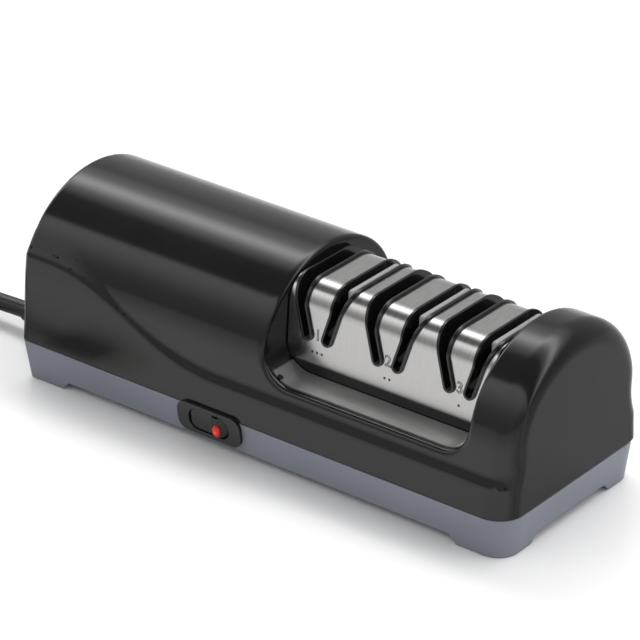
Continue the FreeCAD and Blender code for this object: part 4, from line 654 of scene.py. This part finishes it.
def cord_route():
    """The route's corner points: out of the strain relief, round the coil and into the plug."""
    spots = [(-122.4, EXIT_Y, 9.7), (-146.8, EXIT_Y, 9.7), (-156.3, EXIT_Y, 9.7), (-165.9, EXIT_Y, 9.15),
             (-174.9, EXIT_Y, 9.15), (-183.6, EXIT_Y, TOP), (-192.4, EXIT_Y, TOP)]
    steps = CORNERS_PER_HALF
    y, heading = EXIT_Y, -1
    inward = [COIL_RADIUS - COIL_STEP * k for k in range(TURNS_IN)]
    for k, radius in enumerate(inward + [COIL_RADIUS - COIL_STEP * TURNS_IN] + inward[::-1]):
        middle = y + radius * heading
        reach = radius / math.cos(math.pi / steps / 2)
        for i in range(steps):
            part = (i + 0.5) / steps
            level = TOP if k < TURNS_IN else LOW if k > TURNS_IN else TOP + (LOW - TOP) * part
            spots.append((COIL_X + reach * math.sin(math.pi * part) * heading,
                          middle - reach * math.cos(math.pi * part) * heading, level))
        y += 2 * radius * heading
        heading = -heading
    spots += [(-193.5, y, LOW), (-180.5, y, LOW), (-167.5, y + 5.0, 6.2), (-155.0, y + 5.0, 6.2)]
    return [Vector(s) * MM for s in spots]


# %% [markdown]
# A flat rubber strap holds the coil. It goes once round the bundle and overlaps itself on top, where it
# rises by its own thickness. A section with slightly rounded edges is carried along that way.


# %% The strap
TIE_WIDTH, TIE_THICKNESS, TIE_RIM, TIE_Y = 11.0, 0.6, 0.25, -60.6


def strap_path():
    """The tie's way round the bundle, overlapping itself on top: points and their outward directions."""
    middle, half, corner = Vector((-162.45, 0, 8.25)), (8.7, 8.2), 4.0
    arcs = [(1, 1, 0), (-1, 1, 90), (-1, -1, 180), (1, -1, 270), (1, 1, 0)]
    path = []
    for number, (side, level, start) in enumerate(arcs):
        hub = middle + Vector((side * (half[0] - corner), 0, level * (half[1] - corner)))
        for k in range(9):
            angle = math.radians(start + 90 * k / 8)
            out = Vector((math.cos(angle), 0, math.sin(angle)))
            lift = 0.7 if number == 4 and k > 5 else 0.0
            path.append((hub + out * (corner + lift), out))
    end, out = path[-1]
    path.append((end + Vector((-5.5, 0, 0)), out))
    return path[6:]


def skin_rows(mesh, rows):
    """Faces from each row of vertices to the next, and one over each end."""
    for first, second in zip(rows, rows[1:]):
        for k in range(len(first)):
            m = (k + 1) % len(first)
            mesh.faces.new((first[k], first[m], second[m], second[k]))
    mesh.faces.new(rows[0][::-1])
    mesh.faces.new(rows[-1])


def mesh_data(name, mesh):
    """The finished mesh as object data; the working copy is let go."""
    data = bpy.data.meshes.new(name)
    mesh.to_mesh(data)
    mesh.free()
    return data


def make_tie():
    """A flat strap round two turns by two layers of the coil."""
    width, thick, rim = TIE_WIDTH, TIE_THICKNESS, TIE_RIM
    ring = [(-width / 2 + rim, 0), (width / 2 - rim, 0), (width / 2, -rim), (width / 2, rim - thick),
            (width / 2 - rim, -thick), (rim - width / 2, -thick), (-width / 2, rim - thick), (-width / 2, -rim)]
    mesh = bmesh.new()
    rows = []
    for spot, out in strap_path():
        rows.append([mesh.verts.new((spot + out * depth + Vector((0, TIE_Y + across, 0))) * MM)
                     for across, depth in ring])
    skin_rows(mesh, rows)
    bmesh.ops.recalc_face_normals(mesh, faces=mesh.faces)
    data = mesh_data("lead_tie", mesh)
    tie = bpy.data.objects.new("lead_tie", data)
    scene.collection.objects.link(tie)
    data.materials.append(LOOKS["rubber"])
    data.shade_smooth()
    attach(tie, "housing")
    return tie


# %% [markdown]
# A round lead is best kept as a curve with a round bevel: it stays smooth, and its way can be read and
# changed. A quadratic spline touches the middle of each side between the corner points, so the half circles
# come out round. The coil and the plug are kept out of mirrored light, since a studio would have them out
# of sight.


def make_cord(tie):
    points = cord_route()
    curve = bpy.data.curves.new("power_cord", "CURVE")
    curve.dimensions = "3D"
    curve.bevel_depth = CORD_RADIUS * MM
    curve.bevel_resolution = 8
    curve.use_fill_caps = True
    curve.resolution_u = 8
    spline = curve.splines.new("NURBS")
    spline.points.add(len(points) - 1)
    for point, spot in zip(spline.points, points):
        point.co = (*spot, 1.0)
    spline.order_u = 3
    spline.use_endpoint_u = True
    cord = bpy.data.objects.new("power_cord", curve)
    scene.collection.objects.link(cord)
    curve.materials.append(LOOKS["lead_rubber"])
    for piece in (cord, tie, NODES["plug_body"], NODES["plug_blades"]):
        piece.visible_glossy = False
    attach(cord, "housing")
    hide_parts("power_lead", "lead_coil", "plug_lead")
    print("corner points of the lead:", len(points))


make_cord(make_tie())


# %% [markdown]
# Each stage has two slots, and a plastic rail in the right one steadies what is drawn through. Its light
# grey is painted highlight, for the light that catches the dark rail. It is a leaning bar with a round top.
# One profile is repeated at six stations, and it shrinks a little toward both ends, which rounds them off.


# %% Guide rails
STAGES = (17.3, 52.3, 87.3)


def make_rails():
    """A round-topped rail along the outer wall of each stage's right slot, light grey by painted highlight."""
    radius, top, middle_x = 1.5, 77.1, 10.4
    profile = [(9.1, 70.6), (11.0, 70.6), (middle_x + radius, top - 3.0)]
    profile += [(middle_x + radius * math.cos(math.pi * k / 12), top + radius * math.sin(math.pi * k / 12))
                for k in range(13)]
    profile += [(middle_x - radius, top - 3.0)]
    stations = [(-20.0, 0.78), (-19.6, 0.93), (-18.8, 1.0), (10.0, 1.0), (10.8, 0.93), (11.0, 0.78)]
    hub = Vector((10.9, 0, 75.0))
    mesh = bmesh.new()
    for middle in STAGES:
        rows = []
        for y, share in stations:
            row = []
            for x, z in profile:
                spot = hub + (Vector((x, 0, z)) - hub) * share
                row.append(mesh.verts.new(Vector((middle + spot.x, y, spot.z)) * MM))
            rows.append(row)
        skin_rows(mesh, rows)
    bmesh.ops.recalc_face_normals(mesh, faces=mesh.faces)
    data = mesh_data("guide_rails", mesh)
    rails = bpy.data.objects.new("guide_rails", data)
    scene.collection.objects.link(rails)
    data.materials.append(LOOKS["rail_plastic"])
    data.shade_smooth()
    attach(rails, "housing")
    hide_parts("blade_rails")
    print("rail faces:", len(data.polygons))


make_rails()


# %% [markdown]
# The three stages are told apart by an outlined figure and a row of dots, three for the coarsest. A ray
# from the front finds the sheet at each height, so that every mark lies flat on it whatever its slope. The
# figures are a text curve without a filling, turned into a thin raised line.


# %% Marks on the cover
NUMERAL_HEIGHT = 58.0
DOTS_HEIGHT = 50.5
FIGURE_SIZE, LINE_RADIUS, DOT_SPACING = 6.8, 0.17, 2.4


def cover_frame(x, z):
    """The place and the turn that lay a flat mark on the front of the cover."""
    found, spot, normal, _ = NODES["steel_cover"].ray_cast(Vector((x, -60, z)) * MM, Vector((0, 1, 0)))
    if not found:
        raise ValueError("no cover at %.1f, %.1f" % (x, z))
    across = Vector((1, 0, 0))
    turn = Matrix((across, normal.cross(across), normal)).transposed().to_4x4()
    return Matrix.Translation(spot) @ turn


def numeral(word):
    """The outline of one figure as a thin raised line."""
    text = bpy.data.curves.new("figure", "FONT")
    text.body = word
    text.size = FIGURE_SIZE * MM
    text.align_x, text.align_y = "CENTER", "CENTER"
    text.fill_mode = "NONE"
    text.bevel_depth = LINE_RADIUS * MM
    text.bevel_resolution = 1
    holder = bpy.data.objects.new("figure", text)
    scene.collection.objects.link(holder)
    bpy.context.view_layer.update()
    data = bpy.data.meshes.new_from_object(holder.evaluated_get(bpy.context.evaluated_depsgraph_get()))
    bpy.data.objects.remove(holder)
    return data


def make_marks():
    """A figure and its row of dots for each stage: three dots for the coarsest."""
    mesh = bmesh.new()
    for index, x in enumerate(STAGES):
        data = numeral(str(index + 1))
        data.transform(cover_frame(x, NUMERAL_HEIGHT) @ Matrix.Diagonal((1, 1, 0.3, 1)))
        mesh.from_mesh(data)
        count = 3 - index
        for k in range(count):
            place = cover_frame(x + (k - (count - 1) / 2) * DOT_SPACING, DOTS_HEIGHT)
            bmesh.ops.create_cone(mesh, cap_ends=True, segments=20, radius1=0.6 * MM, radius2=0.55 * MM,
                                  depth=0.1 * MM, matrix=place)
    data = mesh_data("cover_marks", mesh)
    marks = bpy.data.objects.new("cover_marks", data)
    scene.collection.objects.link(marks)
    data.materials.append(LOOKS["guide_plastic"])
    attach(marks, "housing")
    print("faces of the marks:", len(data.polygons))


make_marks()


# %% [markdown]
# The object stands on a pale, slightly glossy table that runs out of sight. A faint reflection and a soft
# shadow tie it to the ground. The background is the table itself, and in this light it renders white.


# %% Floor
def make_stage():
    bpy.ops.mesh.primitive_plane_add(size=30.0, location=(0, 0, 0))
    floor = bpy.context.object
    floor.name = "floor"
    look = Look("pale floor")
    look.set(base_color=(0.93, 0.93, 0.93, 1.0), roughness=0.16, specular_ior_level=0.5)
    floor.data.materials.append(look.material)


# %% [markdown]
# On gloss black, light is seen as bands: a bright strip high up, a dark gap, and a broad dim panel in
# front. The brightness of the world is set by the angle about the length of the housing, so that each band
# lies where the dome mirrors it. One large lamp above adds the shadow, and it isn't mirrored.


# %% Lights
def softbox(name, at, target, width, height, power):
    light = bpy.data.lights.new(name, "AREA")
    light.shape = "RECTANGLE"
    light.size, light.size_y = width, height
    light.energy = power
    lamp = bpy.data.objects.new(name, light)
    scene.collection.objects.link(lamp)
    lamp.location = at
    lamp.rotation_euler = (Vector(target) - Vector(at)).to_track_quat("-Z", "Y").to_euler()
    return lamp


# Brightness of the studio by the angle about the housing's length, from the front horizon over the top
STUDIO = [(0, 0.35), (22, 0.5), (48, 1.5), (59, 1.6), (63, 0.12), (92, 0.12), (103, 1.6), (114, 5.4),
          (125, 1.6), (140, 0.5), (180, 0.7)]


def make_lights():
    world = bpy.data.worlds.new("studio")
    scene.world = world
    world.use_nodes = True
    tree = world.node_tree
    back = tree.nodes["Background"]
    way = tree.nodes.new("ShaderNodeTexCoord")
    parts = tree.nodes.new("ShaderNodeSeparateXYZ")
    tree.links.new(way.outputs["Generated"], parts.inputs[0])

    def maths(operation, first, second):
        node = tree.nodes.new("ShaderNodeMath")
        node.operation = operation
        tree.links.new(first, node.inputs[0])
        if isinstance(second, float):
            node.inputs[1].default_value = second
        else:
            tree.links.new(second, node.inputs[1])
        return node.outputs[0]

    front = maths("MULTIPLY", parts.outputs["Y"], -1.0)
    turn = maths("ARCTAN2", parts.outputs["Z"], front)
    share = maths("DIVIDE", turn, math.pi)
    ramp = tree.nodes.new("ShaderNodeValToRGB")
    peak = max(level for _, level in STUDIO)
    ramp.color_ramp.elements.remove(ramp.color_ramp.elements[0])
    for number, (angle, level) in enumerate(STUDIO):
        spot = ramp.color_ramp.elements[0] if number == 0 else ramp.color_ramp.elements.new(angle / 180)
        spot.position = angle / 180
        spot.color = (level / peak, level / peak, level / peak, 1.0)
    tree.links.new(share, ramp.inputs[0])
    tree.links.new(ramp.outputs[0], back.inputs["Color"])
    back.inputs["Strength"].default_value = peak
    softbox("top box", (0.0, 0.2, 1.6), (0, 0, 0.05), 1.4, 1.4, 6.0).visible_glossy = False


make_stage()
make_lights()
scene.view_settings.view_transform = "Standard"
